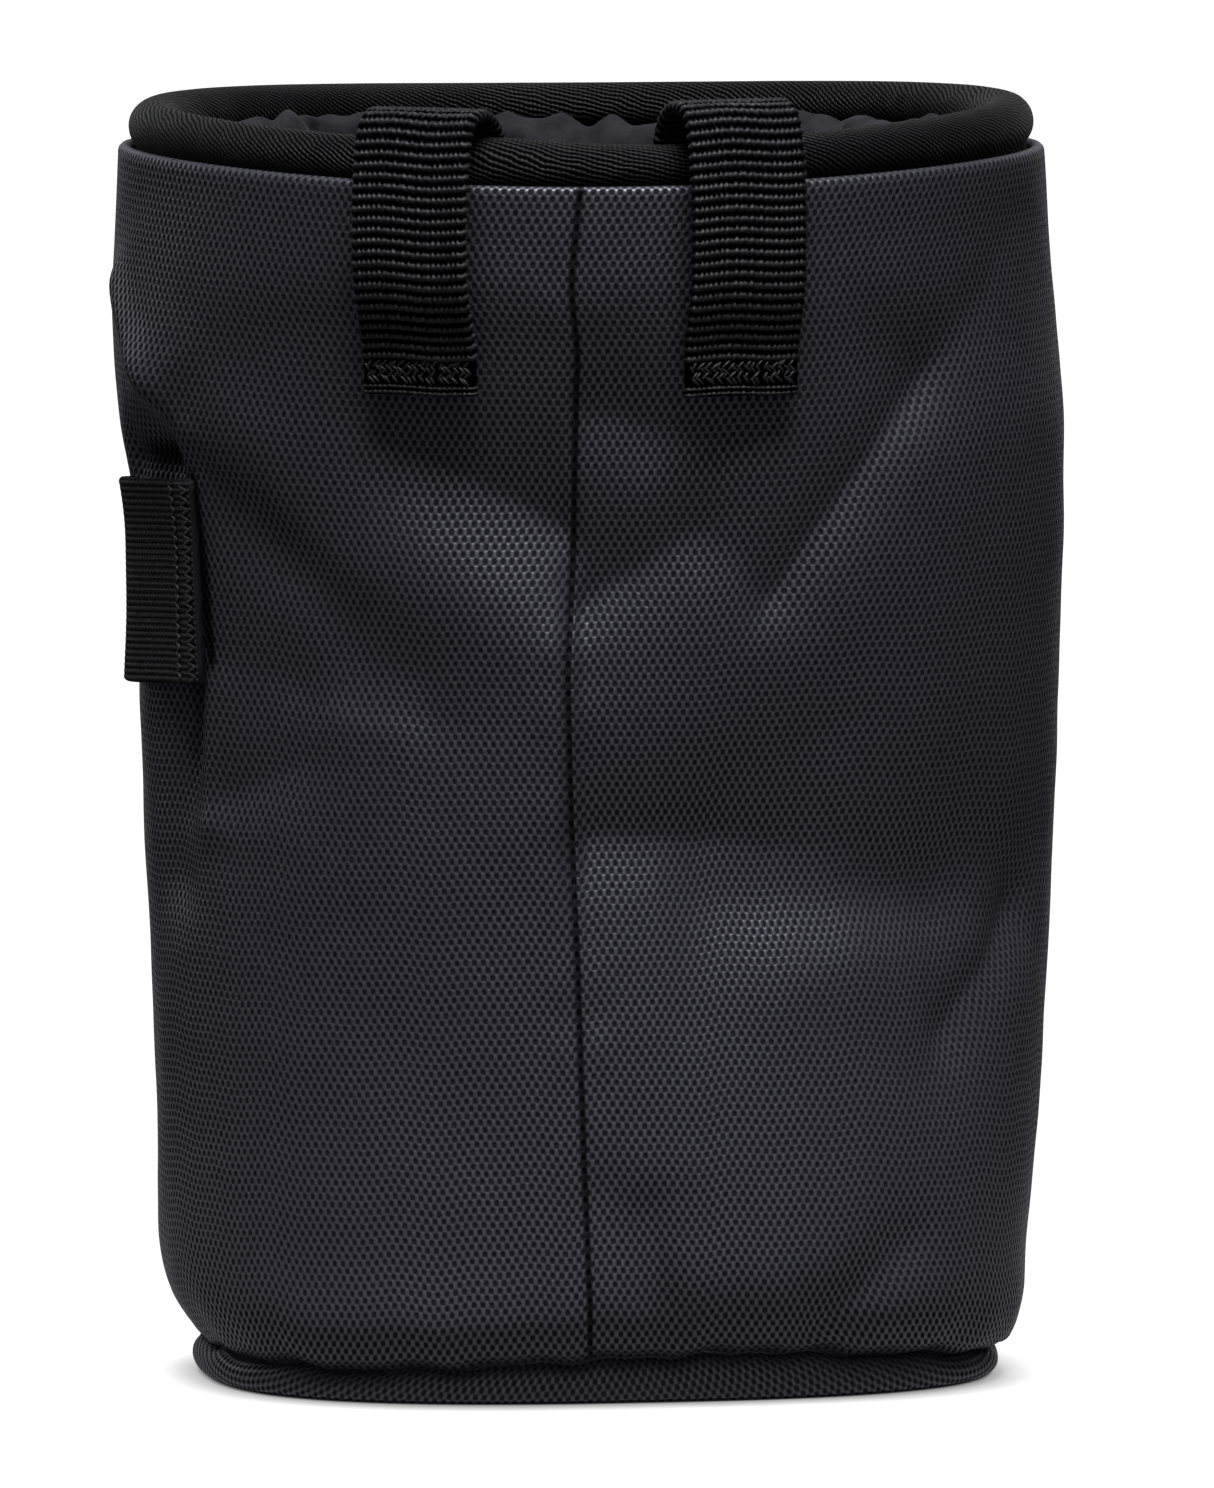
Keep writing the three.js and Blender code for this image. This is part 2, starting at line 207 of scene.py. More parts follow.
def roll_height(turn):
    """Top of the base's rolled edge."""
    around = np.mod(np.asarray(turn) + 180, 360) - 180
    uneven = 0.05 * np.sin(around / 2.9) + 0.04 * np.sin(around / 1.6 + 1)
    return BASE_ROLL * (1 + np.interp(around, HEM["turn"], HEM["lift"]) + uneven)


def rim_line(turn):
    half_width, half_depth = mouth_width / 2, mouth_depth / 2
    return oval(turn, half_width, half_width, half_depth, half_depth, 2)


def base_radius(turn):
    half_width, half_depth = BASE_WIDTH / 2, BASE_DEPTH / 2
    return oval(turn - BASE_TWIST, half_width, half_width, half_depth, half_depth, BASE_POWER)


def section_at(height):
    """The section at a height share, with the table's corners rounded off."""
    spread = np.clip(np.minimum(height, 1 - height), 0, SECTION_BLEND)
    shares, weights = (-1, -0.5, 0, 0.5, 1), (0.12, 0.24, 0.28, 0.24, 0.12)
    return {
        name: sum(
            weight * np.interp(height + share * spread, SECTIONS["height"], values)
            for share, weight in zip(shares, weights)
        )
        for name, values in SECTIONS.items()
    }


print("the rim's line is", round(float(rim_line(0)), 1), "mm from the middle at the back")

# %% [markdown]
# ## Folds
# Cloth that hangs from a stiff rim and stands on a small base has too much room, so it buckles. Each buckle
# is a line pressed in or out. The first table has the large folds, which the solid bag has too. The second
# has the sharp creases that catch the light: each falls away gently above its line and comes back steeply
# below it. Simulated cloth would fold somewhere else each time, and here the folds have to lie where the
# real bag has them.

# %% Folds and creases
FOLD_DEPTH = 3
FOLD_FADE = 9
SEAM_DEPTH = 1.0
SEAM_WIDTH = 0.35

# Large folds: from and to are a turn and a height share, width is a share of the body's height, and lift is
# a share of the fold depth.
FOLDS = table("from_turn from_height to_turn to_height width lift", [
    (-79, 0.886, -62, 0.773, 0.022, 0.35),
    (-62, 0.773, -37, 0.628, 0.035, -0.35),
    (-3, 0.7, -27, 0.762, 0.045, -0.3),
    (-24, 0.68, -6, 0.618, 0.06, 0.45),
    (-2, 0.654, 14, 0.7, 0.035, -0.2),
    (-1, 0.824, 16, 0.778, 0.03, -0.1),
    (60, 0.928, 28, 0.649, 0.03, -0.1),
    (-3, 0.429, 16, 0.442, 0.035, -0.2),
    (20, 0.422, 72, 0.391, 0.05, -0.1),
    (30, 0.339, 62, 0.349, 0.06, 0.4),
    (75, 0.38, 53, 0.236, 0.03, -0.2),
    (-43, 0.587, -28, 0.587, 0.03, -0.15),
    (-68, 0.773, -68, 0.401, 0.035, -0.5),
    (-94, 0.711, -94, 0.63, 0.055, -1.2),
    (2, 0.139, 12, 0.029, 0.03, -0.25),
    (46, 0.094, 37, 0.029, 0.03, -0.25),
    (95, 0.711, 108, 0.401, 0.04, -0.45),
    (125, 0.773, 165, 0.608, 0.045, -0.6),
    (175, 0.432, 130, 0.36, 0.05, -0.65),
    (-118, 0.845, -160, 0.649, 0.045, -0.55),
    (-165, 0.308, -120, 0.225, 0.045, -0.5),
    (-96, 0.484, -112, 0.277, 0.035, -0.45),
])

# Creases, each from left to right or upwards. bow is how far the line's middle stands above its ends, start
# and finish are its depths, negative where the cloth goes in, above and below are the widths of its two
# sides, and round is how softly they meet, all in millimetres. Seam is -1 or 1 where the crease stops at
# the back seam and lies only to its left or right.
CREASES = table("from_turn from_height to_turn to_height bow start finish above below round seam", [
    (-31, 0.785, -3, 0.705, 0.4, -1.2, -4.6, 16, 12, 1.2, -1),
    (-3, 0.642, 12, 0.695, 0, -4.2, -1.6, 16, 9, 1, 1),
    (-2, 0.812, 17.5, 0.787, 0, -2.4, -1.6, 8, 10, 1.5, 1),
    (27.5, 0.655, 49, 0.82, 1, -1.7, -1.3, 10, 3, 0.6, 0),
    (49, 0.82, 69, 0.94, 0, -1.1, -0.5, 12, 7, 1.5, 0),
    (-3, 0.448, 28, 0.436, 1, -4, -2.6, 18, 12, 1, 1),
    (25, 0.386, 54, 0.376, 0.6, -4.2, -5.2, 20, 17, 3, 0),
    (50, 0.408, 74, 0.418, 0, -1.6, -2.4, 18, 13, 2.5, 0),
    (57, 0.28, 73, 0.37, 0, -1.4, -2, 9, 3.5, 1, 0),
    (6.8, 0.461, 37, 0.529, 0, -0.4, -0.8, 9, 11, 3, 0),
    (-48, 0.572, -27, 0.553, 0, -1.8, -1.4, 18, 11, 1.5, 0),
    (-37, 0.548, -28, 0.535, 0, 0.5, 0.5, 3, 5, 1, 0),
    (-77, 0.885, -67, 0.809, 0, 0.7, 1.2, 9, 2.5, 0.8, 0),
    (-67, 0.809, -27, 0.646, -0.5, 1.4, 0.5, 10, 6, 1.2, 0),
    (-66.5, 0.43, -64.5, 0.565, 0, 0, -2.8, 3.5, 2, 0.8, 0),
    (-56, 0.478, -45, 0.505, 0, -1.7, -1.2, 12, 7, 1.5, 0),
    (-60.5, 0.448, -59.5, 0.565, 0, 0.8, 0.8, 2, 5, 0.8, 0),
    (-76, 0.747, -66, 0.747, 0, -1.8, -1.8, 2.5, 3, 1.5, 0),
    (8.5, 0.13, 12.3, 0.026, 0, -0.8, -1.2, 5, 3, 0.8, 0),
    (37, 0.03, 49, 0.1, 0, -1.3, -0.8, 6, 4, 0.8, 0),
])
SEAM_STIFFNESS = 3
CREASE_END = 0.4

# Where the back seam runs, as turns.
BACK_SEAM = table("height turn", [
    (0.05, -0.8), (0.17, -1.7), (0.34, -2.7), (0.46, -3.7), (0.585, -4), (0.71, -3.3), (0.83, -2.7), (1, 0),
])


def around(turn):
    return np.mod(turn + 540, 360) - 180


def seam_turn(height):
    return np.interp(height, BACK_SEAM["height"], BACK_SEAM["turn"])


def laid_out(fold, turn, height):
    """Places on the flat cloth from a fold's start, and the fold's own line, both in millimetres."""
    rise = fold["to_height"] - fold["from_height"]
    here = (around(turn - fold["from_turn"]) * TURN_TO_MM, (height - fold["from_height"]) * body_height)
    return here, ((fold["to_turn"] - fold["from_turn"]) * TURN_TO_MM, rise * body_height)


def rows_of(columns):
    names = list(columns)
    return [dict(zip(names, values)) for values in zip(*columns.values())]


def fold_lift(turn, height):
    """How far the large folds push the cloth out."""
    lift = 0
    for fold in rows_of(FOLDS):
        (u, v), (line_u, line_v) = laid_out(fold, turn, height)
        along = np.clip((u * line_u + v * line_v) / (line_u**2 + line_v**2), 0, 1)
        away = np.hypot(u - along * line_u, v - along * line_v) / (fold["width"] * body_height)
        lift = lift + fold["lift"] * FOLD_DEPTH * np.exp(-away * away)
    below_top = (1 - height) * body_height - np.where(lift < 0, TAPE_DEPTH, 0)
    return lift * ease(height * body_height, 0, FOLD_FADE) * ease(below_top, 0, FOLD_FADE)


def crease_lift(turn, height):
    """How far the sharp creases push the cloth out."""
    lift = 0
    beside_seam = around(turn - seam_turn(height)) * TURN_TO_MM
    for crease in rows_of(CREASES):
        (u, v), (line_u, line_v) = laid_out(crease, turn, height)
        length = math.hypot(line_u, line_v)
        along = (u * line_u + v * line_v) / length
        share = np.clip(along / length, 0, 1)
        side = (v * line_u - u * line_v) / length - 4 * crease["bow"] * share * (1 - share)
        width = np.where(side > 0, crease["above"], crease["below"])
        past = np.maximum(np.maximum(-along, along - length), 0)
        past = past / (CREASE_END * (crease["above"] + crease["below"]))
        depth = crease["start"] + (crease["finish"] - crease["start"]) * share
        away = (np.hypot(side, crease["round"]) - crease["round"]) / width
        aside = crease["seam"] * beside_seam
        kept = 1 if crease["seam"] == 0 else ease(aside, -SEAM_STIFFNESS, SEAM_STIFFNESS)
        lift = lift + depth * kept * np.exp(-away - past**2)
    below_top = (1 - height) * body_height
    return lift * ease(height * body_height, 0, FOLD_FADE / 3) * ease(below_top, 0, FOLD_FADE)


print(len(rows_of(FOLDS)), "large folds and", len(rows_of(CREASES)), "creases")

# %% [markdown]
# Between the folds no cloth is quite flat. A little smooth noise, wide and shallow, keeps the light on it
# alive. The noise is Blender's own and gives the same values each time.

# %% The cloth's surface
WRINKLES = table("size depth offset", [(34, 0.55, 3), (13, 0.22, 11), (6, 0.07, 29)])
PUCKER_PITCH = 2.3
PUCKER_AWAY = 3
PUCKER_REACH = 2
PUCKER_DEPTH = 0.1
# Painted shade: how dark the back seam is painted, and where painted shade lies beside the band, in the
# pocket above it and in the channel below it.
SEAM_SHADE_WIDTH = 0.35
SEAM_PAINTED_SHADE = 0.85
STRIP_ASIDE = 0.3
STRIP_WIDTH = 0.8
STRIP_SWELL = 0.4
POCKET_TURN = -69.5
POCKET_REACH = 6.5
POCKET_RISE = 1
POCKET_HEIGHT = 2.4
CHANNEL_TURN = -64.5
CHANNEL_REACH = 3.2
CHANNEL_SHADE = 0.6


def smooth_noise(points, size, offset):
    flat = points.reshape(-1, 3) / size + offset
    values = [noise.noise(Vector(point)) for point in flat.tolist()]
    return np.array(values).reshape(points.shape[:-1])


def rough(points, bumps):
    """Noise of several sizes, added up."""
    return sum(row["depth"] * smooth_noise(points, row["size"], row["offset"]) for row in rows_of(bumps))


def seam_groove(turn, height):
    """How deep the outer face dips at a seam, with small puckers beside it."""
    groove = 0
    for middle in (seam_turn(height), 180):
        away = np.abs(around(turn - middle)) * TURN_TO_MM
        ripple = np.sin(height * body_height / PUCKER_PITCH + 2 * np.sin(height * 21))
        pucker = ripple * bell(away - PUCKER_AWAY, PUCKER_REACH)
        groove = groove + SEAM_DEPTH * bell(away, SEAM_WIDTH) + PUCKER_DEPTH * pucker
    return groove * ease((1 - height) * body_height, 0, 1)


def shade_painted_at(turn, height):
    """How much painted shade a place gets where it would be hidden from the light: in the back seam, and
    beside, above and below the band.
    """
    seam = np.abs(turn - seam_turn(height)) * TURN_TO_MM
    level = 1 - ((1 - height) * body_height - BAND_DROP) / BAND_HEIGHT
    beside = (turn - BAND_TURN) * TURN_TO_MM - (1 - level) * BAND_LEAN + STRIP_ASIDE
    inside = ease(level, -0.03, 0.03) * ease(1 - level, -0.03, 0.03)
    strip_width = STRIP_WIDTH + STRIP_SWELL * np.sin(np.clip(level, 0, 1) * math.pi)
    strip = inside * bell(beside, strip_width, 4)
    over = (level - 1) * BAND_HEIGHT - POCKET_RISE
    pocket = bell((turn - POCKET_TURN) * TURN_TO_MM, POCKET_REACH, 4) * bell(over, POCKET_HEIGHT, 4)
    channel = bell((turn - CHANNEL_TURN) * TURN_TO_MM, CHANNEL_REACH, 4)
    channel = CHANNEL_SHADE * ease(level, -1, -0.2) * (level < 0.1) * channel
    return np.max([SEAM_PAINTED_SHADE * bell(seam, SEAM_SHADE_WIDTH), strip, pocket, channel], axis=0)


def cloth_outline(turn, height):
    """The cloth's distance from the bag's middle line, and how far that line has shifted."""
    row = section_at(height)
    body = 1 - row["base"] - row["mouth"]
    half_width = body * BODY_WIDTH + row["base"] * BASE_WIDTH + row["mouth"] * (mouth_width + 2 * cloth_reach)
    half_depth = body * BODY_DEPTH + row["base"] * BASE_DEPTH + row["mouth"] * (mouth_depth + 2 * cloth_reach)
    sides = {side: half_width / 2 * row[side] for side in ("left", "right")}
    ends = {end: half_depth / 2 * row[end] for end in ("back", "front")}
    radius = oval(turn - BASE_TWIST * row["base"], **sides, **ends, power=row["power"])
    return radius, mouth_shift * row["mouth"]


def cloth_at(turn, height, inset, lift=fold_lift):
    """A place on the cloth: a turn, a height share from hem to mouth and a depth into the wall."""
    radius, shift = cloth_outline(turn, height)
    hem = roll_height(turn) + SEAM_GAP
    z = hem + height * (body_height - hem) + side_lift(turn) * height
    return place_at(turn, radius + lift(turn, height) - inset, z, shift)


right_side = float(cloth_outline(np.array(90.0), np.array(0.8))[0])
print("the cloth stands", round(right_side, 1), "mm out at the right")

# %% [markdown]
# ## Meshes from grids
# Nearly every piece here is a closed ring or a strap: a grid of points whose last row or column meets the
# first. One function turns such a grid into a mesh with its own UV map. The UV map is in millimetres of
# real cloth, so that a weave keeps its true pitch wherever it runs.

# %% Grid to mesh
def mesh_from_grid(name, points, uv, close_rows=True):
    """A mesh from rows of points. uv has one more row and column than points where the grid closes."""
    rows, columns = points.shape[:2]
    row_faces = rows if close_rows else rows - 1
    i, j = np.meshgrid(np.arange(row_faces), np.arange(columns), indexing="ij")
    corners = [(i, j), (i + 1, j), (i + 1, j + 1), (i, j + 1)]
    faces = np.stack([(a % rows) * columns + b % columns for a, b in corners], axis=-1).reshape(-1, 4)
    flat_uv = np.stack([uv[a, b] for a, b in corners], axis=-2).reshape(-1, 2)
    flat = points.reshape(-1, 3)
    first, second, third = (flat[faces[:, k]] for k in range(3))
    if close_rows:
        volume = np.sum(np.cross(first, second) * third)
        turned_in = volume + np.sum(np.cross(first, third) * flat[faces[:, 3]]) < 0
    else:
        turned_in = np.sum(np.cross(second - first, third - first) * (first - flat.mean(axis=0))) < 0
    if turned_in:
        faces = faces[:, ::-1]
        flat_uv = flat_uv.reshape(-1, 4, 2)[:, ::-1].reshape(-1, 2)
    mesh = bpy.data.meshes.new(name)
    all_faces = faces.tolist()
    if not close_rows:
        ends = [list(range(columns)), list(range((rows - 1) * columns, rows * columns))]
        all_faces += [ends[0][:: -1 if turned_in else 1], ends[1][:: 1 if turned_in else -1]]
    mesh.from_pydata((flat * MM).tolist(), [], all_faces)
    layer = mesh.uv_layers.new(name="cloth")
    values = np.zeros((len(mesh.loops), 2))
    values[: len(flat_uv)] = flat_uv
    layer.data.foreach_set("uv", values.ravel())
    mesh.polygons.foreach_set("use_smooth", [True] * len(mesh.polygons))
    return place_in_scene(name, mesh)


def set_places(piece, name, values):
    """Store one number for each point, for a material or a tree to read."""
    layer = piece.data.attributes.new(name, "FLOAT", "POINT")
    layer.data.foreach_set("value", np.ascontiguousarray(values, dtype=np.float32).ravel())


def run_length(points, axis):
    """Distance run along an axis of a grid of points, from its start."""
    steps = np.linalg.norm(np.diff(points, axis=axis), axis=-1)
    nothing = np.zeros_like(np.take(steps, [0], axis=axis))
    return np.concatenate([nothing, np.cumsum(steps, axis=axis)], axis=axis)


def ring_uv(points):
    """The UV map of a closed ring, evenly run round it and over its section."""
    ring = np.concatenate([points, points[:1]], axis=0)
    u = run_length(ring, 0)[:, :1]
    v = run_length(np.concatenate([points, points[:, :1]], axis=1), 1).mean(axis=0)
    return np.stack(np.broadcast_arrays(u, v[None, :]), axis=-1)


def triangles(piece):
    return sum(len(polygon.vertices) - 2 for polygon in piece.data.polygons)


print("a grid becomes a mesh with its own UV map in millimetres")


# %% [markdown]
# ## Materials
# One helper adds a node, sets its sockets and settings and gives back its output, for shaders and for
# Geometry Nodes alike. Colours are written as sRGB hex values, as a dye chart gives them, and one function
# turns them to the linear light that Blender mixes.

# %% Helpers for nodes and colours
def put(tree, kind, inputs=None, out=0, **settings):
    """Add a node with its settings, and set or link its inputs. Gives back one of its outputs."""
    node = tree.nodes.new(kind)
    for name, value in settings.items():
        setattr(node, name, value)
    for name, value in (inputs or {}).items():
        if isinstance(value, bpy.types.NodeSocket):
            tree.links.new(value, node.inputs[name])
        else:
            node.inputs[name].default_value = value
    return node.outputs[out] if node.outputs else node


def calc(tree, operation, *values):
    """One sum, on numbers or sockets."""
    return put(tree, "ShaderNodeMath", dict(enumerate(values)), operation=operation)


def wave(tree, value, rate):
    """A sine wave of a number that a tree works out."""
    return calc(tree, "SINE", calc(tree, "MULTIPLY", value, rate))


def remap(tree, value, low, high, to_low=0.0, to_high=1.0, **settings):
    """A value stretched from one range to another."""
    ends = {"From Min": low, "From Max": high, "To Min": to_low, "To Max": to_high}
    return put(tree, "ShaderNodeMapRange", {"Value": value, **ends}, **settings)


def speckle(tree, place, scale, detail):
    return put(tree, "ShaderNodeTexNoise", {"Vector": place, "Scale": scale, "Detail": detail})


def cloth_place(tree):
    """The UV map in millimetres, as a vector and as its two parts."""
    place = put(tree, "ShaderNodeUVMap", uv_map="cloth")
    parts = put(tree, "ShaderNodeSeparateXYZ", {0: place}).node.outputs
    return place, parts["X"], parts["Y"]


def linear(colour):
    """An sRGB hex colour as linear red, green, blue and alpha."""
    parts = [((colour >> shift) & 255) / 255 for shift in (16, 8, 0)]
    return (*[c / 12.92 if c <= 0.04045 else ((c + 0.055) / 1.055) ** 2.4 for c in parts], 1)


def blend(tree, factor, dark, light):
    """A colour between two hex colours."""
    colours = {"Factor": factor, 6: linear(dark), 7: linear(light)}
    return put(tree, "ShaderNodeMix", colours, out=2, data_type="RGBA")


def new_material(name):
    material = bpy.data.materials.new(name)
    material.use_nodes = True
    material.node_tree.nodes.clear()
    return material, material.node_tree


def finish_material(tree, colour, height, relief, roughness, specular, sheen=0.0, tint=(1, 1, 1, 1)):
    """End a material in a shader with a bump in real millimetres."""
    bump = put(tree, "ShaderNodeBump", {"Height": height, "Distance": relief * MM, "Strength": 1})
    shader = put(tree, "ShaderNodeBsdfPrincipled", {
        "Base Color": colour, "Roughness": roughness, "Specular IOR Level": specular,
        "Specular Tint": tint, "Sheen Weight": sheen, "Sheen Roughness": 0.4, "Normal": bump,
    })
    put(tree, "ShaderNodeOutputMaterial", {"Surface": shader})


print("black polyester 0x26262b is", [round(c, 4) for c in linear(0x26262B)[:3]], "in linear light")

# %% [markdown]
# ### Coated polyester mesh
# The body is a knitted polyester with rows of small round holes, coated so that it sheds chalk. Under the
# lens it is a lattice: dark holes 1.15 mm apart, each row shifted by half, and shiny threads between them.
# Three cosines give exactly that lattice, sharp at any distance, which a painted picture wouldn't be. On
# the base the coating is worn, so the same mesh is duller there.

# %% Coated polyester mesh
HOLE_PITCH = 1.146
ROW_PITCH = 0.945
HOLE_ROUGHNESS = 0.4
CROWN_SHARPNESS = 2.5
COATING_TINT = (0.86, 0.86, 1, 1)


def coated_polyester(name, crown, hole, roughness, relief):
    material, tree = new_material(name)
    place, across, up = cloth_place(tree)
    jitter = speckle(tree, place, 0.35, 2)
    wander = calc(tree, "MULTIPLY_ADD", jitter, 0.9, -0.45)
    turn = calc(tree, "MULTIPLY_ADD", across, 2 * math.pi / HOLE_PITCH, wander)
    rise = calc(tree, "MULTIPLY_ADD", up, math.pi / ROW_PITCH, wander)
    double_rise = calc(tree, "MULTIPLY", rise, 2)
    cos_turn = calc(tree, "COSINE", turn)
    cos_rise = calc(tree, "COSINE", rise)
    cos_rows = calc(tree, "COSINE", double_rise)
    lattice = calc(tree, "MULTIPLY", cos_turn, cos_rise)
    holes = calc(tree, "MULTIPLY_ADD", cos_rows, 0.15, lattice)
    threads = speckle(tree, place, 1.7, 3)
    ragged = calc(tree, "MULTIPLY_ADD", threads, 1, holes)
    depth = remap(tree, ragged, -0.2, 1.4, 1, 0, interpolation_type="SMOOTHSTEP")
    dye = remap(tree, threads, 0.3, 0.7, 0.6, 1.4)
    # Painted shade: the attribute read here darkens the colour and the shine in the seam and around the band.
    painted_shade = put(tree, "ShaderNodeAttribute", out="Fac", attribute_name="painted_shade")
    lit = remap(tree, painted_shade, 0, 1, 1, 0.15)
    shade = calc(tree, "MULTIPLY", dye, lit)
    weave = blend(tree, depth, hole, crown)
    colour = put(tree, "ShaderNodeVectorMath", {0: weave, "Scale": shade}, operation="SCALE")
    height = calc(tree, "MULTIPLY_ADD", threads, 0.25, depth)
    gloss = remap(tree, depth, 0, 1, roughness + HOLE_ROUGHNESS, roughness)
    shiny = calc(tree, "POWER", depth, CROWN_SHARPNESS)
    specular = calc(tree, "MULTIPLY", shiny, lit)
    finish_material(tree, colour, height, relief, gloss, specular, tint=COATING_TINT)
    return material


body_finish = coated_polyester("coated_polyester_mesh", 0x38373F, 0x1F1F24, 0.36, 0.14)
base_finish = coated_polyester("worn_polyester_mesh", 0x3A3940, 0x26262B, 0.45, 0.07)
print("the mesh has a hole every", HOLE_PITCH, "mm in rows", ROW_PITCH, "mm apart")

# %% [markdown]
# ## The cloth body
# One wall of cloth, open at the hem and the mouth. The grid runs up the outside, over the folded top edge
# and down the inside. Its columns crowd together at the seams and on the back, where the folds are
# sharpest, and thin out where the cloth is plain.

# %% The cloth body
OUTSIDE_ROWS = 165
INSIDE_ROWS = 34
EDGE_STEPS = 5
COLUMN_WIDTHS = (0.2, 0.8, 1.25)
FINE_REACH = 1.2
FINE_FADE = 5
BAND_END_TURNS = 1.2
BACK_HALF = 95
SEAM_LEAN_REACH = 30
CALM_AT_HEM = (0, 6)
CALM_AT_MOUTH = (2, 20)


def column_turns(fine, middle, coarse):
    """Turns from the front round to the front, crowded at both seams and at the brush band's sewn end."""
    turns = [-180.0]
    band_end = BAND_TURN + BAND_LEAN / TURN_TO_MM / 2
    while turns[-1] < 180:
        turn = turns[-1]
        beside_band = max(abs(turn - band_end) - BAND_END_TURNS, 0)
        away = min(abs(turn), 180 - abs(turn), beside_band) * TURN_TO_MM
        plain = middle if abs(turn) < BACK_HALF else coarse
        share = min(1, max(0, away - FINE_REACH) / FINE_FADE)
        turns.append(turn + (fine + (plain - fine) * share) / TURN_TO_MM)
    made = np.array(turns[:-1])
    return made - made[np.argmin(np.abs(made))]


def shell_profile():
    """Height shares and depths into the wall, up the outside, over the edge and down the inside."""
    round_edge = CLOTH_WALL / 2
    share = round_edge / body_height
    angles = np.linspace(0, math.pi, EDGE_STEPS + 2)[1:-1]
    outside = np.linspace(share, 1 - share, OUTSIDE_ROWS)
    inside = np.linspace(1 - share, share, INSIDE_ROWS)
    heights = [outside, 1 - share + share * np.sin(angles), inside, share - share * np.sin(angles)]
    edge = round_edge * (1 - np.cos(angles))
    depths = [np.zeros(OUTSIDE_ROWS), edge, np.full(INSIDE_ROWS, CLOTH_WALL), edge[::-1]]
    return np.concatenate(heights), np.concatenate(depths)


def shell_lift(turn, height):
    return fold_lift(turn, height) + crease_lift(turn, height)


def cloth_body():
    heights, depths = shell_profile()
    turns = column_turns(*COLUMN_WIDTHS)
    grid = turns[:, None] + seam_turn(heights)[None, :] * bell(turns[:, None], SEAM_LEAN_REACH)
    height = np.broadcast_to(heights, grid.shape)
    groove = seam_groove(grid, height) * (1 - depths / CLOTH_WALL)
    points = cloth_at(grid, height, depths + groove, shell_lift)
    calm = ease(height * body_height, *CALM_AT_HEM) * ease((1 - height) * body_height, *CALM_AT_MOUTH)
    points = points + place_at(grid, 1.0, 0.0) * (rough(points, WRINKLES) * calm)[..., None]
    smooth = cloth_at(grid, height, 0)
    ring = np.concatenate([smooth, smooth[:1]], axis=0)
    back = int(np.argmin(np.abs(turns)))
    u = run_length(ring, 0)
    u = u - u[back : back + 1]
    v = run_length(np.concatenate([points, points[:, :1]], axis=1).mean(axis=0), 0)
    uv = np.stack([np.concatenate([u, u[:, :1]], axis=1), np.broadcast_to(v, (len(ring), len(v)))], axis=-1)
    piece = mesh_from_grid("cloth_body", points, uv)
    # The painted shade of the seam and the band is stored on the outer face only.
    set_places(piece, "painted_shade", shade_painted_at(grid, height) * (depths < CLOTH_WALL / 2))
    return piece, float((u[-1] - u[0]).mean())


shell, girth = cloth_body()
shell.data.materials.append(body_finish)
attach(shell, "root")
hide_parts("shell")
print("the cloth is", round(girth), "mm round,", triangles(shell), "triangles")

# %% [markdown]
# ## The padded base
# A flat panel in a rolled edge. The roll is what the bag stands on, and the hem sits in the crease above
# it.

# %% The base
ROLL_STEPS = 14
UNDERSIDE_INSETS = (200, 30, 24, 18, 12, 8, 5, 3)
TOP_RINGS = ((BASE_ROLL, 0), (2.5 * BASE_ROLL, BASE_CROWN), (200, 2 * BASE_CROWN))


def base_panel():
    turns = np.linspace(-180, 180, 361)[:-1]
    roll = BASE_ROLL / 2
    rings, places = [], []

    def add_ring(inset, z):
        rings.append(place_at(turns, np.maximum(base_radius(turns) - inset, 0), z))

    for inset in UNDERSIDE_INSETS:
        add_ring(inset, np.zeros_like(turns))
    for angle in np.linspace(-90, 90, ROLL_STEPS):
        share = (1 + math.sin(math.radians(angle))) / 2
        add_ring(roll * (1 - math.cos(math.radians(angle))), roll_height(turns) * share)
    for inset, rise in TOP_RINGS:
        add_ring(inset, np.full_like(turns, BASE_THICKNESS + rise))
    points = np.stack(rings, axis=1)
    # The cloth is laid flat from the underside's middle out and over the roll. The top is a panel of its own.
    under = np.arange(len(rings)) < len(UNDERSIDE_INSETS) + ROLL_STEPS
    reach = np.where(under, run_length(points, 1), np.hypot(points[..., 0], points[..., 1]))
    reach = np.concatenate([reach, reach[:, :1]], axis=1)
    uv = place_at(turns[:, None], reach, 0.0)[..., :2]
    return mesh_from_grid("base", points, np.concatenate([uv, uv[:1]], axis=0))


def close_poles(piece):
    """Merge the points that a ring of no width left in one place."""
    shape = bmesh.new()
    shape.from_mesh(piece.data)
    bmesh.ops.remove_doubles(shape, verts=shape.verts, dist=0.01 * MM)
    shape.to_mesh(piece.data)
    shape.free()


base = base_panel()
close_poles(base)
base.data.materials.append(base_finish)
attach(base, "root")
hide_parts("base_panel")
print("the base has", triangles(base), "triangles")

# %% [markdown]
# ## The rim
# A round cord in a twill tape keeps the mouth open. The tape's two edges run down inside the cloth, where
# they are sewn. Twill is woven so that each thread steps over its neighbours, which draws fine slanted
# lines. They are finer than half a millimetre on the real tape, and are drawn at 0.66 mm so that they show
# in the render.

# %% Twill tape
TWILL_PITCH = 0.66
TWILL_SLANT = -0.45
TWILL_PULL = 3
TWILL_PULL_REACH = 14


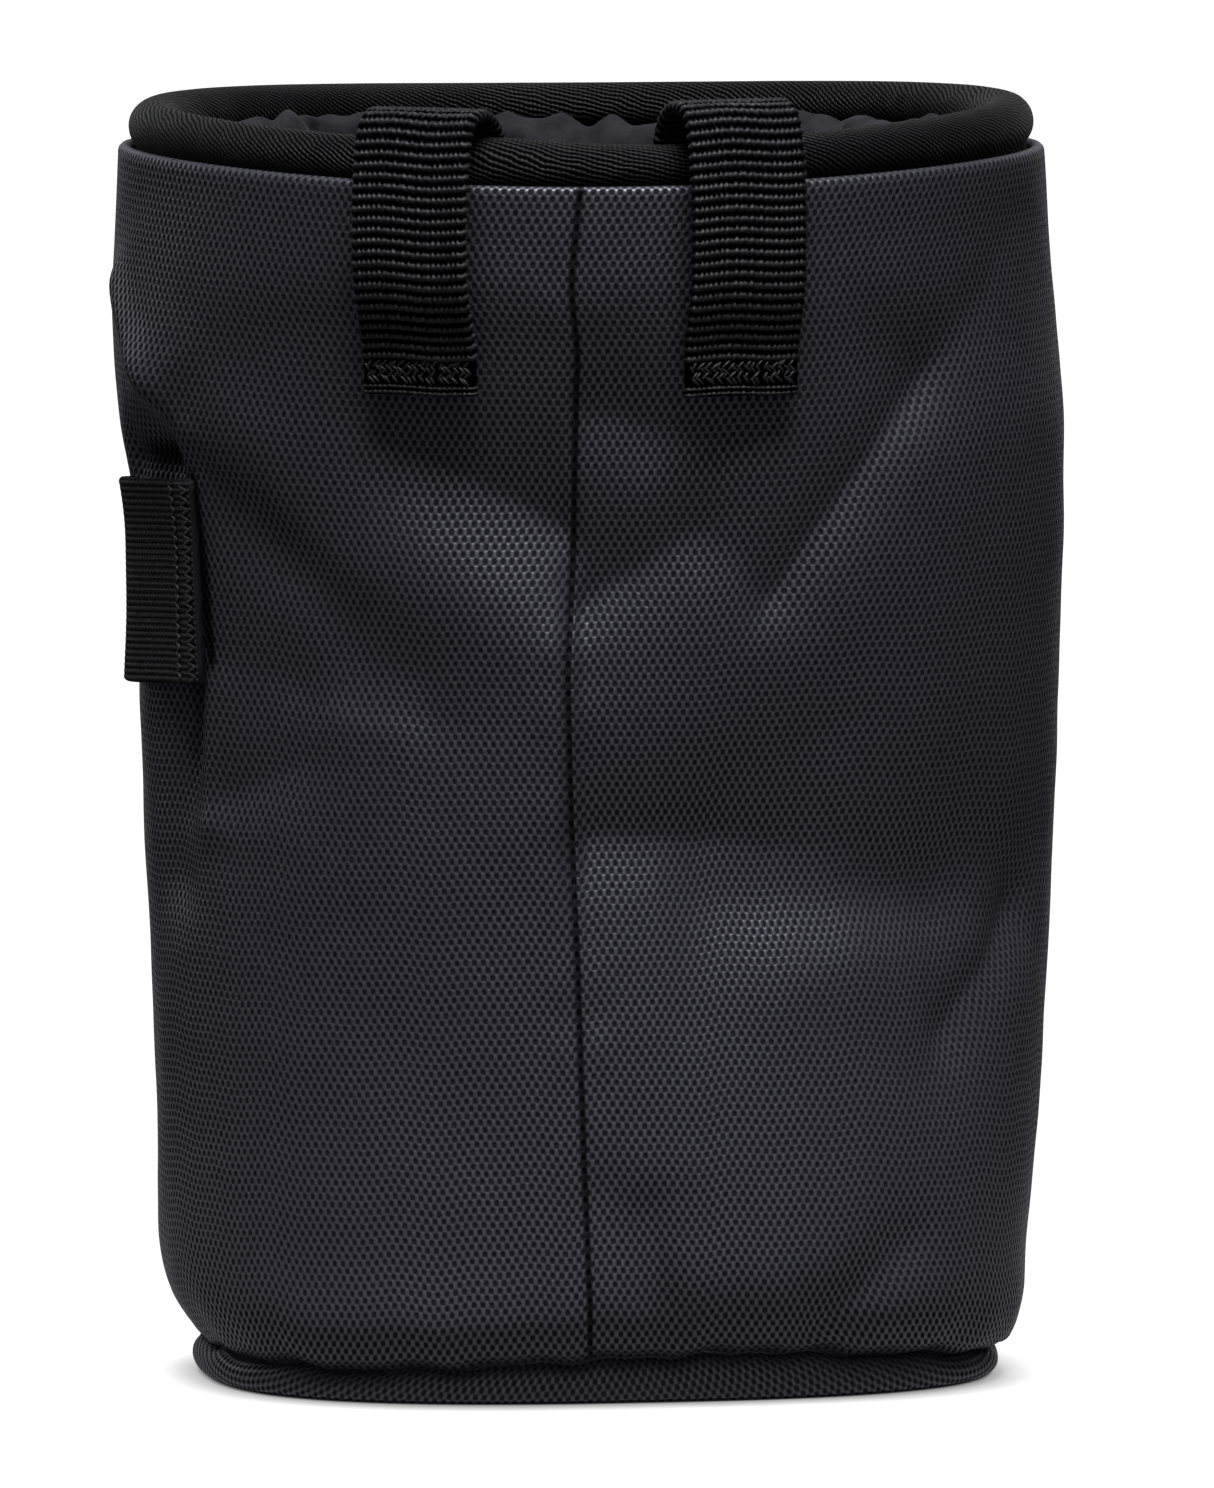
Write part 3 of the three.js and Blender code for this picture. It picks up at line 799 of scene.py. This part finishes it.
def twill_tape():
    material, tree = new_material("polyester_twill_tape")
    place, along, round_cord = cloth_place(tree)
    uneven = speckle(tree, place, 0.25, 2)
    slanted = calc(tree, "MULTIPLY_ADD", along, TWILL_SLANT, round_cord)
    pull = wave(tree, along, 1 / TWILL_PULL_REACH)
    eased = calc(tree, "MULTIPLY_ADD", pull, TWILL_PULL, slanted)
    shifted = calc(tree, "MULTIPLY_ADD", uneven, 1.2, eased)
    wale = wave(tree, shifted, 2 * math.pi / TWILL_PITCH)
    threads = wave(tree, along, 2 * math.pi / TWILL_PITCH)
    relief = calc(tree, "MULTIPLY_ADD", threads, 0.35, wale)
    height = remap(tree, relief, -0.7, 1.3)
    colour = blend(tree, height, 0x030304, 0x131315)
    specular = calc(tree, "MULTIPLY", height, 0.22)
    finish_material(tree, colour, height, 0.14, 0.55, specular, 0.05)
    return material


rim_finish = twill_tape()
print("the twill's lines are", TWILL_PITCH, "mm apart")

# %% The rim
CORD_STEPS = 40
TAPE_LEVELS = (0.4, 0.7, 1)
RIM_LUMPS = table("size depth offset", [(9, 0.22, 5), (3.5, 0.08, 17)])
RIM_SWELLS = table("turn reach lift", [(-12, 8, 0.6), (13, 9, -0.4)])


def rim():
    turns = np.linspace(-180, 180, 541)[:-1]
    line = rim_line(turns)
    z = rim_level(turns)
    cord = RIM_TUBE / 2
    tape_inner = TAPE_OFFSET - TAPE_THICKNESS / 2
    tape_outer = TAPE_OFFSET + TAPE_THICKNESS / 2
    start = 1.5 * math.pi + math.asin(tape_inner / cord)
    end = math.asin(tape_outer / cord) - math.pi / 2
    tape = [(tape_outer, level) for level in TAPE_LEVELS]
    tape += [(tape_inner, level) for level in TAPE_LEVELS[::-1]]
    columns = [place_at(turns, line + out, z - level * TAPE_DEPTH, mouth_shift) for out, level in tape]
    for angle in np.linspace(start, end, CORD_STEPS):
        out, up = cord * math.cos(angle), cord * math.sin(angle)
        columns.append(place_at(turns, line + out, z + up, mouth_shift))
    points = np.stack(columns, axis=1)
    points = points + place_at(turns, 1.0, 0.0)[:, None] * rough(points, RIM_LUMPS)[..., None]
    swell = sum(row["lift"] * bell(turns - row["turn"], row["reach"]) for row in rows_of(RIM_SWELLS))
    cord_levels = points[:, len(tape):, 2]
    cord_levels += swell[:, None] * ease(cord_levels - z[:, None], 0, 2)
    return mesh_from_grid("rim_tape", points, ring_uv(points))


rim_tape = rim()
rim_tape.data.materials.append(rim_finish)
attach(rim_tape, "root")
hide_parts("rim")
print("the rim has", triangles(rim_tape), "triangles")

# %% [markdown]
# ## Curves through points
# The collar and the belt loops follow curves through a few chosen points. A Catmull-Rom spline passes
# through every point and is smooth at each, so a few points are enough.

# %% Splines
def spline(points, count, tightness=0.25):
    """Points along a smooth curve through the given ones, evenly in the curve's own parameter."""
    given = np.array(points, dtype=float)
    given = np.vstack([2 * given[0] - given[1], given, 2 * given[-1] - given[-2]])
    gaps = np.maximum(np.sum(np.diff(given, axis=0) ** 2, axis=1) ** tightness, 1e-6)
    places = np.linspace(0, len(points) - 1, count)
    made = []
    for place in places:
        i = min(int(place), len(points) - 2)
        t = place - i
        p0, p1, p2, p3 = given[i : i + 4]
        g0, g1, g2 = gaps[i : i + 3]
        leave = ((p1 - p0) / g0 - (p2 - p0) / (g0 + g1) + (p2 - p1) / g1) * g1
        arrive = ((p2 - p1) / g1 - (p3 - p1) / (g1 + g2) + (p3 - p2) / g2) * g1
        made.append(
            p1 * (1 + 2 * t) * (1 - t) ** 2 + leave * t * (1 - t) ** 2
            + p2 * t * t * (3 - 2 * t) + arrive * t * t * (t - 1)
        )
    return np.array(made)


def evenly(path, count):
    """Points the same distance apart on a path."""
    run = np.concatenate([[0], np.cumsum(np.linalg.norm(np.diff(path, axis=0), axis=1))])
    places = np.linspace(0, run[-1], count)
    return np.stack([np.interp(places, run, path[:, k]) for k in range(path.shape[1])], axis=-1), run[-1]


def edge_normals(path):
    """Unit normals of a flat path, to its left."""
    tangent = np.gradient(path, axis=0)
    tangent = tangent / np.linalg.norm(tangent, axis=1, keepdims=True)
    return np.stack([-tangent[:, 1], tangent[:, 0]], axis=-1)


print("a spline through 3 points has", len(spline([(0, 0), (1, 1), (2, 0)], 9)), "points here")

# %% [markdown]
# ## The collar
# Inside the rim a collar of thin, soft cloth swells up and hangs into the bag in gathers. On the real bag
# it can be drawn shut so that the chalk stays in. Gathers are even waves that small noise makes irregular.

# %% Brushed collar cloth
def collar_cloth():
    material, tree = new_material("brushed_microfibre")
    place = put(tree, "ShaderNodeTexCoord", out="Object")
    fuzz = speckle(tree, place, 2200, 3)
    patches = speckle(tree, place, 260, 3)
    mixed = calc(tree, "MULTIPLY_ADD", fuzz, 0.5, patches)
    shade = remap(tree, mixed, 0.5, 1)
    colour = blend(tree, shade, 0x121214, 0x26262A)
    finish_material(tree, colour, mixed, 0.1, 0.8, 0.1, 0.05)
    return material


COLLAR_WALL = 1
COLLAR_DROP = 40
COLLAR_CREST = -1.2
COLLAR_WAVES = 14
COLLAR_WAVE_DEPTH = 3.2
COLLAR_STEPS = 40
LOOP_WIDTH = 16
LOOP_THICKNESS = 1.4

# The collar's way in and down: wall thicknesses inward, a share of the gathers' depth, and the fall below
# the crest.
COLLAR_WAY = table("walls gather fall", [
    (0, 0.2, 2.5 * COLLAR_WALL),
    (2, 0.5, 0),
    (4.5, 0.8, 1.5 * COLLAR_WALL),
    (6, 1, 0.25 * COLLAR_DROP),
    (5, 1, 0.6 * COLLAR_DROP),
    (3, 0.8, COLLAR_DROP),
])
COLLAR_LUMPS = table("size depth offset", [(7, 2.4, 2), (3.4, 1.8, 8)])
COLLAR_RISES = table("size depth offset", [(6, 2.4, 31), (3, 1.3, 44)])

loop_bow = LOOP_WIDTH**2 / (4 * mouth_depth)


def collar():
    turns = np.linspace(-180, 180, 481)[:-1]
    line = rim_line(turns)
    z = rim_level(turns)
    start = TAPE_OFFSET - TAPE_THICKNESS / 2 - SEAM_GAP - COLLAR_WALL / 2
    clear = RIM_TUBE / 2 + LOOP_THICKNESS + 3 * SEAM_GAP + loop_bow + COLLAR_WALL / 2
    ruffles = (1 - np.cos(np.radians(turns * COLLAR_WAVES))) / 2
    rows = []
    for turn, here, height, ruffle in zip(turns, line, z, ruffles):
        gather = ruffle * COLLAR_WAVE_DEPTH
        path = spline([
            (start, COLLAR_WALL - TAPE_DEPTH),
            (-clear * 0.7 - 0.1 * gather, -TAPE_DEPTH * 0.6),
            *[(-clear - row["walls"] * COLLAR_WALL - row["gather"] * gather, COLLAR_CREST - row["fall"])
              for row in rows_of(COLLAR_WAY)],
        ], COLLAR_STEPS)
        normal = edge_normals(path) * COLLAR_WALL / 2
        sides = np.concatenate([path + normal, (path - normal)[::-1]])
        rows.append(place_at(turn, here + sides[:, 0], height + sides[:, 1], mouth_shift))
    points = np.stack(rows)
    depth = np.clip((z[:, None] - points[..., 2] + 2) / 6, 0, 1)
    middle = (points + points[:, ::-1]) / 2
    lumps = rough(middle, COLLAR_LUMPS)
    inward = -place_at(turns, 1.0, 0.0)[:, None]
    away = np.clip(np.abs(np.arange(2 * COLLAR_STEPS) - COLLAR_STEPS + 0.5) / COLLAR_STEPS, 0, 1)
    free = ease(1 - away, 0.12, 0.4)
    points = points + inward * ((lumps * 0.8 + 0.4) * free)[..., None]
    points[..., 2] += rough(middle, COLLAR_RISES) * free * (1 - 0.5 * depth)
    return mesh_from_grid("gathered_collar", points, ring_uv(points))


gathered = collar()
gathered.data.materials.append(collar_cloth())
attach(gathered, "root")
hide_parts("collar")
print("the collar has", triangles(gathered), "triangles")

# %% [markdown]
# ## Ribs by Geometry Nodes
# Webbing and elastic are woven with thick threads across and thin ones along, so their faces are rows of
# round ribs. Modelling each rib by hand would be slow, and a bump alone has no outline. A small node tree
# reads where each point lies across the ribs and lifts it, so that one tree serves straps of every size.

# %% The rib tree
def open_tree(name, sizes):
    """A new Geometry Nodes tree with named sizes and a finish as inputs."""
    tree = bpy.data.node_groups.new(name, "GeometryNodeTree")
    inputs = [("Geometry", "Geometry"), *((size, "Float") for size in sizes), ("Finish", "Material")]
    for label, kind in inputs:
        tree.interface.new_socket(label, in_out="INPUT", socket_type=f"NodeSocket{kind}")
    tree.interface.new_socket("Geometry", in_out="OUTPUT", socket_type="NodeSocketGeometry")
    return tree, put(tree, "NodeGroupInput").node.outputs


def close_tree(tree, geometry, finish):
    """End a tree in real geometry with its material."""
    real = put(tree, "GeometryNodeRealizeInstances", {"Geometry": geometry})
    done = put(tree, "GeometryNodeSetMaterial", {"Geometry": real, "Material": finish})
    put(tree, "NodeGroupOutput", {"Geometry": done})
    return tree


def rib_tree():
    """Geometry Nodes that raise round ribs on a strap. It reads the strap's own rib and bead attributes."""
    tree, given = open_tree("woven_ribs", ("Rib Pitch", "Rib Height", "Bead Pitch", "Bead Height"))
    rib_place = put(tree, "GeometryNodeInputNamedAttribute", {"Name": "rib_place"}, data_type="FLOAT")
    bead_place = put(tree, "GeometryNodeInputNamedAttribute", {"Name": "bead_place"}, data_type="FLOAT")
    bead_turns = calc(tree, "DIVIDE", bead_place, given["Bead Pitch"])
    bead_wave = wave(tree, bead_turns, 2 * math.pi)
    rib_turns = calc(tree, "DIVIDE", rib_place, given["Rib Pitch"])
    wavy = calc(tree, "MULTIPLY_ADD", bead_wave, 0.09, rib_turns)
    rib_round = calc(tree, "ABSOLUTE", wave(tree, wavy, math.pi))
    rib_full = calc(tree, "POWER", rib_round, 1.4)
    rib_rise = calc(tree, "MULTIPLY", rib_full, given["Rib Height"])
    bead_rise = calc(tree, "MULTIPLY", bead_wave, given["Bead Height"])
    bead_on_rib = calc(tree, "MULTIPLY_ADD", bead_rise, rib_full, rib_rise)
    normal = put(tree, "GeometryNodeInputNormal")
    rise = put(tree, "ShaderNodeVectorMath", {0: normal, "Scale": bead_on_rib}, operation="SCALE")
    ribbed = put(tree, "GeometryNodeSetPosition", {"Geometry": given["Geometry"], "Offset": rise})
    stored = put(tree, "GeometryNodeStoreNamedAttribute", {
        "Geometry": ribbed, "Name": "rib_height", "Value": rib_full,
    }, data_type="FLOAT", domain="POINT")
    return close_tree(tree, stored, given["Finish"])


def grow(piece, tree, values):
    """Run a tree on a piece with values for its named inputs, and keep the result as a plain mesh."""
    modifier = piece.modifiers.new("growth", "NODES")
    modifier.node_group = tree
    sockets = {item.name: item.identifier for item in tree.interface.items_tree if item.in_out == "INPUT"}
    for name, value in values.items():
        modifier[sockets[name]] = value
    evaluated = piece.evaluated_get(bpy.context.evaluated_depsgraph_get())
    mesh = bpy.data.meshes.new_from_object(evaluated)
    piece.modifiers.remove(modifier)
    piece.data = mesh
    mesh.polygons.foreach_set("use_smooth", [True] * len(mesh.polygons))
    return piece


ribs = rib_tree()
print("the rib tree has", len(ribs.nodes), "nodes")

# %% [markdown]
# ### Nylon webbing
# The ribs shine a little on their crowns. The rib tree leaves its own height on each point, and the material
# reads it to paint the gaps between the ribs nearly black, as painted shade.

# %% Webbing and elastic
def ribbed_finish(name, crown, shaded_gap, roughness, thread_pitch):
    material, tree = new_material(name)
    place, across, _ = cloth_place(tree)
    height = put(tree, "ShaderNodeAttribute", out="Fac", attribute_name="rib_height")
    uneven = speckle(tree, place, 1.3, 3)
    twist = calc(tree, "MULTIPLY_ADD", across, 2 * math.pi / thread_pitch, uneven)
    thread = calc(tree, "SINE", twist)
    lit = calc(tree, "MULTIPLY_ADD", thread, 0.1, height)
    patchy = calc(tree, "MULTIPLY_ADD", uneven, 1.1, lit)
    # Painted shade: low places between the ribs are painted towards the dark gap colour.
    shade = remap(tree, patchy, 0.9, 1.75)
    colour = blend(tree, shade, shaded_gap, crown)
    specular = calc(tree, "MULTIPLY", shade, 0.35)
    finish_material(tree, colour, lit, 0.18, roughness, specular)
    return material


webbing_finish = ribbed_finish("nylon_webbing", 0x242427, 0x020203, 0.5, 0.68)
elastic_finish = ribbed_finish("knitted_elastic", 0x262628, 0x1C1C1E, 0.75, 0.6)
print("webbing and elastic share one recipe")

# %% [markdown]
# ## The belt loops
# Each loop is sewn to the tape inside the mouth, arches over the rim and is sewn to the cloth outside, so
# that a waist belt runs through it. The route is the solid's own, worked out from the same sizes.

# %% The belt loops
LOOP_DROP = 26.7
LOOP_STANDOFF = 2.4
LOOP_SEWN_END = 6
LOOPS = table("turn rise", [(-21.8, 2.5), (21.4, 3.4)])
RIB_PITCH = 1.37
BEAD_PITCH = 0.68
RIB_HEIGHT = 0.34
RIB_ROOM = 0.3
BEAD_HEIGHT = 0.05
LOOP_TRIM = 0.7
TACK_FROM = 4.2
TACK_TO = 1.3
STRAP_COLUMNS = 44
STRAP_STEPS = 8


def strap_profile(width, thickness, columns):
    """Places across and through a strap, round its section."""
    across = -np.cos(np.linspace(0, math.pi, columns)) * 0.5
    across = 0.35 * across + 0.65 * np.linspace(-0.5, 0.5, columns)
    across = across * width
    edge = np.clip((width / 2 - np.abs(across)) / (thickness / 2), 0.02, 1)
    through = thickness / 2 * np.sqrt(1 - (1 - edge) ** 2)
    return np.concatenate([across, across[::-1]]), np.concatenate([through, -through[::-1]])


def ribbed_strap(name, points, uv, ribs_at, beads_at, sizes, finish):
    """A strap with ribs grown on it. sizes are the pitch and height of its ribs and of its beads."""
    piece = mesh_from_grid(name, points, np.stack(np.broadcast_arrays(*uv), axis=-1), close_rows=False)
    for place, values in (("rib_place", ribs_at), ("bead_place", beads_at)):
        set_places(piece, place, np.broadcast_to(values, points.shape[:2]) * MM)
    labels = ("Rib Pitch", "Rib Height", "Bead Pitch", "Bead Height")
    return grow(piece, ribs, {"Finish": finish, **{label: size * MM for label, size in zip(labels, sizes)}})


def loop_route(turn, rise):
    """The loop's middle line, out from the rim's line and up from the cord's middle."""
    line = float(rim_line(turn))
    edge = body_height - float(rim_level(turn))
    half = LOOP_THICKNESS / 2
    cord = RIM_TUBE / 2
    beside = cord + SEAM_GAP + loop_bow + half
    outward = place_at(turn, 1.0, 0.0)
    spots = turn + np.degrees(np.array([-1, -0.5, 0, 0.5, 1]) * LOOP_WIDTH / 2 / line)

    def cloth_out(height):
        hem = roll_height(spots) + SEAM_GAP
        places = cloth_at(spots, (height - hem) / (body_height - hem), 0) - np.array([mouth_shift, 0, 0])
        return float((places @ outward).max()) - line

    def sewn(height):
        return cloth_out(height) + SEAM_GAP + half

    lowest = body_height - LOOP_DROP
    standing = cloth_out(body_height - LOOP_DROP / 3) + LOOP_STANDOFF + half
    top = cord + rise + half
    return spline([
        (TAPE_OFFSET - TAPE_THICKNESS / 2 - SEAM_GAP - loop_bow - half, -TAPE_DEPTH * 0.62),
        (-beside * 0.62, -cord - half - SEAM_GAP * 2),
        (-beside - SEAM_GAP, -cord * 0.2),
        (-beside * 0.9, cord * 0.8 + rise / 2),
        (0, top),
        (standing * 0.72, top - rise * 0.4),
        (standing, edge),
        (standing, edge - LOOP_DROP * 0.45),
        (sewn(lowest + LOOP_SEWN_END), edge - LOOP_DROP + LOOP_SEWN_END),
        (sewn(lowest), edge - LOOP_DROP),
    ], 240, tightness=0)


def belt_loop(name, turn, rise):
    path, length = evenly(loop_route(turn, rise), 2)
    count = int(length / RIB_PITCH * STRAP_STEPS)
    path, length = evenly(loop_route(turn, rise), count)
    normal = edge_normals(path)
    across, through = strap_profile(LOOP_WIDTH - LOOP_TRIM, LOOP_THICKNESS - RIB_ROOM, STRAP_COLUMNS)
    sideways = place_at(turn + 90, 1.0, 0.0)
    line = float(rim_line(turn))
    z = float(rim_level(turn))
    out = line + path[:, :1] + normal[:, :1] * through
    up = z + path[:, 1:] + normal[:, 1:] * through
    points = place_at(turn, out, up, mouth_shift) + across[None, :, None] * sideways
    run = np.linspace(0, length, count)
    uv = (np.append(across, across[0])[None, :], run[:, None])
    stop = round((length - TACK_FROM) / RIB_PITCH) * RIB_PITCH
    rib_run = np.minimum(run / (length - TACK_FROM), 1) * stop + 2 * np.maximum(run - length + TACK_TO, 0)
    wander = 0.18 * np.sin(across / 2.1 + turn)
    loose = (run < length - TACK_FROM) | (run > length - TACK_TO)
    ribs_at = rib_run[:, None] + wander[None, :] * loose[:, None]
    sizes = (RIB_PITCH, RIB_HEIGHT, BEAD_PITCH, BEAD_HEIGHT)
    return ribbed_strap(name, points, uv, ribs_at, across[None, :], sizes, webbing_finish), length


for row, name in zip(rows_of(LOOPS), ("belt_loop_left", "belt_loop_right")):
    loop, length = belt_loop(name.replace("belt_loop", "webbing_loop"), row["turn"], row["rise"])
    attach(loop, "root")
    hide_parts(name)
    print(loop.name, "is", round(length, 1), "mm of webbing,", triangles(loop), "triangles")

# %% [markdown]
# ## The brush band
# A flat piece of elastic is sewn to the cloth at both ends and stands off it between them, so that a brush
# can be pushed in from above. Its ribs run round the bag.

# %% The brush band
BAND_RIB_PITCH = 0.8
BAND_RIB_HEIGHT = 0.035
BAND_BEAD_PITCH = 0.9
BAND_BEAD_HEIGHT = 0.02
BAND_COLUMNS = 120
BAND_STEPS = 110


def band_point(share, level, out):
    """A place on the band: a share of its length, a share of its height and a distance off its inner face."""
    radius = BODY_WIDTH / 2
    lean = (1 - level) * math.degrees(BAND_LEAN / radius)
    turn = BAND_TURN - np.degrees(share * BAND_LENGTH / radius) + lean
    z = body_height - BAND_DROP - BAND_HEIGHT * (1 - level) - BAND_TILT * BAND_LENGTH * share
    hem = roll_height(turn) + SEAM_GAP
    standoff = SEAM_GAP + BAND_BULGE * np.sin(math.pi * share)
    return cloth_at(turn, (z - hem) / (body_height - hem), -standoff - out)


def brush_band():
    across, through = strap_profile(BAND_HEIGHT, BAND_THICKNESS - 0.2, BAND_COLUMNS)
    shares = np.linspace(0, 1, BAND_STEPS)
    level = across / BAND_HEIGHT + 0.5
    points = band_point(shares[:, None], level[None, :], through[None, :] + BAND_THICKNESS / 2)
    run = shares * BAND_LENGTH
    uv = (run[:, None], np.append(across, across[0])[None, :])
    sizes = (BAND_RIB_PITCH, BAND_RIB_HEIGHT, BAND_BEAD_PITCH, BAND_BEAD_HEIGHT)
    return ribbed_strap("elastic_band", points, uv, across[None, :], run[:, None], sizes, elastic_finish)


band = brush_band()
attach(band, "root")
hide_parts("brush_band")
print("the band has", triangles(band), "triangles")

# %% [markdown]
# ## Stitches by Geometry Nodes
# A stitch is a short length of thread that dips into the cloth at both ends. The tree gets one edge for
# each stitch, gives it a thread's round section, thin at the ends and full in the middle, and joins all of
# them.

# %% The stitch tree
def stitch_tree():
    tree, given = open_tree("stitches", ("Thread",))
    lines = put(tree, "GeometryNodeMeshToCurve", {"Mesh": given["Geometry"]})
    steps = put(tree, "GeometryNodeResampleCurve", {"Curve": lines, "Count": 5})
    place = put(tree, "GeometryNodeSplineParameter", out="Factor")
    arch = wave(tree, place, math.pi)
    fullness = calc(tree, "MULTIPLY_ADD", arch, 0.6, 0.4)
    section = put(tree, "GeometryNodeCurvePrimitiveCircle", {"Resolution": 6, "Radius": given["Thread"]})
    thread = put(tree, "GeometryNodeCurveToMesh", {
        "Curve": steps, "Profile Curve": section, "Scale": fullness, "Fill Caps": True,
    })
    return close_tree(tree, thread, given["Finish"])


def sewing_thread():
    material, tree = new_material("bonded_nylon_thread")
    place = put(tree, "ShaderNodeTexCoord", out="Object")
    twist = speckle(tree, place, 3000, 1)
    colour = blend(tree, twist, 0x0E0E10, 0x1F1F22)
    finish_material(tree, colour, twist, 0.05, 0.45, 0.4)
    return material


def sew(name, ends, thread):
    """Stitches as one piece. ends holds the first and last point of each, in millimetres."""
    ends = np.array(ends).reshape(-1, 3)
    mesh = bpy.data.meshes.new(name)
    mesh.from_pydata((ends * MM).tolist(), [(i, i + 1) for i in range(0, len(ends), 2)], [])
    piece = place_in_scene(name, mesh)
    grow(piece, stitching, {"Thread": thread / 2 * MM, "Finish": thread_finish})
    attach(piece, "root")
    return piece


stitching = stitch_tree()
thread_finish = sewing_thread()
print("the stitch tree has", len(stitching.nodes), "nodes")

# %% [markdown]
# The band is held by two columns of zigzag stitches near its front edge, and the loops by a dense criss-
# cross of thread over their last few millimetres, called a bartack.

# %% Sewing the band and the loops
THREAD = 0.44
ZIGZAG_STEP = 0.62
ZIGZAG_COLUMNS = table("first last", [(0.2, 1.8), (4.2, 5.2)])
BARTACK_ROWS = table("before_end lean", [(1.9, 1), (2.6, -1), (3.3, 1), (3.9, -1)])
BARTACK_STEP = 0.9
BARTACK_REACH = 7.2


def zigzag_on_band():
    ends = []
    count = int(BAND_HEIGHT / ZIGZAG_STEP) - 1
    for column in rows_of(ZIGZAG_COLUMNS):
        for step in range(count):
            levels = (step + np.array([0.6, 1.6])) * ZIGZAG_STEP / BAND_HEIGHT
            sides = (column["first"], column["last"]) if step % 2 else (column["last"], column["first"])
            shares = np.array(sides) / BAND_LENGTH
            ends.append(band_point(shares, levels, BAND_THICKNESS + 0.12))
    return ends


def bartack(turn, rise):
    """Criss-cross stitches over a loop's sewn end."""
    path, length = evenly(loop_route(turn, rise), 400)
    normal = edge_normals(path)
    sideways = place_at(turn + 90, 1.0, 0.0)
    run = np.linspace(0, length, len(path))
    ends = []
    hand = np.random.default_rng(7)

    def on_loop(place, across):
        face = path + normal * (LOOP_THICKNESS / 2 + 0.05)
        out, up = (float(np.interp(place, run, face[:, k])) for k in range(2))
        return place_at(turn, rim_line(turn) + out, rim_level(turn) + up, mouth_shift) + across * sideways

    for row in rows_of(BARTACK_ROWS):
        slant = row["lean"] * BARTACK_STEP / 2
        for across in np.arange(-BARTACK_REACH, BARTACK_REACH - 0.6, BARTACK_STEP):
            middle = length - row["before_end"] + hand.uniform(-0.2, 0.2)
            aside = across + hand.uniform(-0.3, 0.3)
            beyond = aside + hand.uniform(0.5, 1.1)
            ends.append([on_loop(middle - slant, aside), on_loop(middle + slant, beyond)])
    return ends


zigzag = sew("band_zigzag", zigzag_on_band(), THREAD)
tacks = sew("loop_bartacks", [end for row in rows_of(LOOPS) for end in bartack(**row)], THREAD)
print(zigzag.name, "and", tacks.name, "have", triangles(zigzag) + triangles(tacks), "triangles")

# %% [markdown]
# ## Floor and light
# A white floor that runs out of the picture gives the plain background of a catalogue. One large soft light
# stands above and a little in front, as the bright upper sides of the folds show. Weak lights from the
# front, the left and the far side, and a little light that the floor throws back, fill the shadows.

# %% Floor and light
FLOOR_SIZE = 14
CONTACT_REACH = 9
ROOM_LIGHT = 0.05


def stage_floor():
    """White paper that glows by itself, with a painted contact shadow where the bag touches it."""
    half = FLOOR_SIZE / 2
    mesh = bpy.data.meshes.new("floor")
    corners = [(-half, -half, 0), (half, -half, 0), (half, half, 0), (-half, half, 0)]
    mesh.from_pydata(corners, [], [(0, 1, 2, 3)])
    floor = place_in_scene("floor", mesh)
    material, tree = new_material("glowing_white_paper")
    # Painted contact shadow: the glow dims where the bag stands close, as ambient occlusion finds it.
    open_sky = put(tree, "ShaderNodeAmbientOcclusion", {"Distance": CONTACT_REACH * MM}, out="AO", samples=12)
    glow = remap(tree, open_sky, 0.1, 0.8, 0.1, 1.1)
    shader = put(tree, "ShaderNodeEmission", {"Strength": glow})
    put(tree, "ShaderNodeOutputMaterial", {"Surface": shader})
    mesh.materials.append(material)
    floor.visible_diffuse = False
    floor.visible_glossy = False
    floor.visible_shadow = False


def hang(name, kind, energy, size, tilt, turn, height=0.0):
    """A light: a sun of a width in degrees, or a round area light of a width in metres."""
    light = bpy.data.lights.new(name, kind)
    light.energy = energy
    if kind == "SUN":
        light.angle = math.radians(size)
    else:
        light.shape = "DISK"
        light.size = size
    lamp = place_in_scene(name, light)
    lamp.location = (0, 0, height)
    lamp.rotation_euler = (math.radians(tilt), 0, math.radians(turn))
    lamp.visible_camera = False


stage_floor()
hang("top_light", "SUN", 5.7, 36, 18, 8)
hang("front_light", "SUN", 0.3, 60, 72, 10)
hang("left_light", "SUN", 0.25, 30, 70, -125)
hang("far_light", "SUN", 0.4, 60, 72, 180)
hang("floor_bounce", "AREA", 0.1, 0.4, 180, 0, 0.0005)
world = bpy.data.worlds.new("studio")
world.use_nodes = True
background = world.node_tree.nodes["Background"].inputs
background["Color"].default_value = (1, 1, 1, 1)
background["Strength"].default_value = ROOM_LIGHT
bpy.context.scene.world = world
bpy.context.scene.view_settings.view_transform = "Standard"
print("the floor is", FLOOR_SIZE, "m wide")
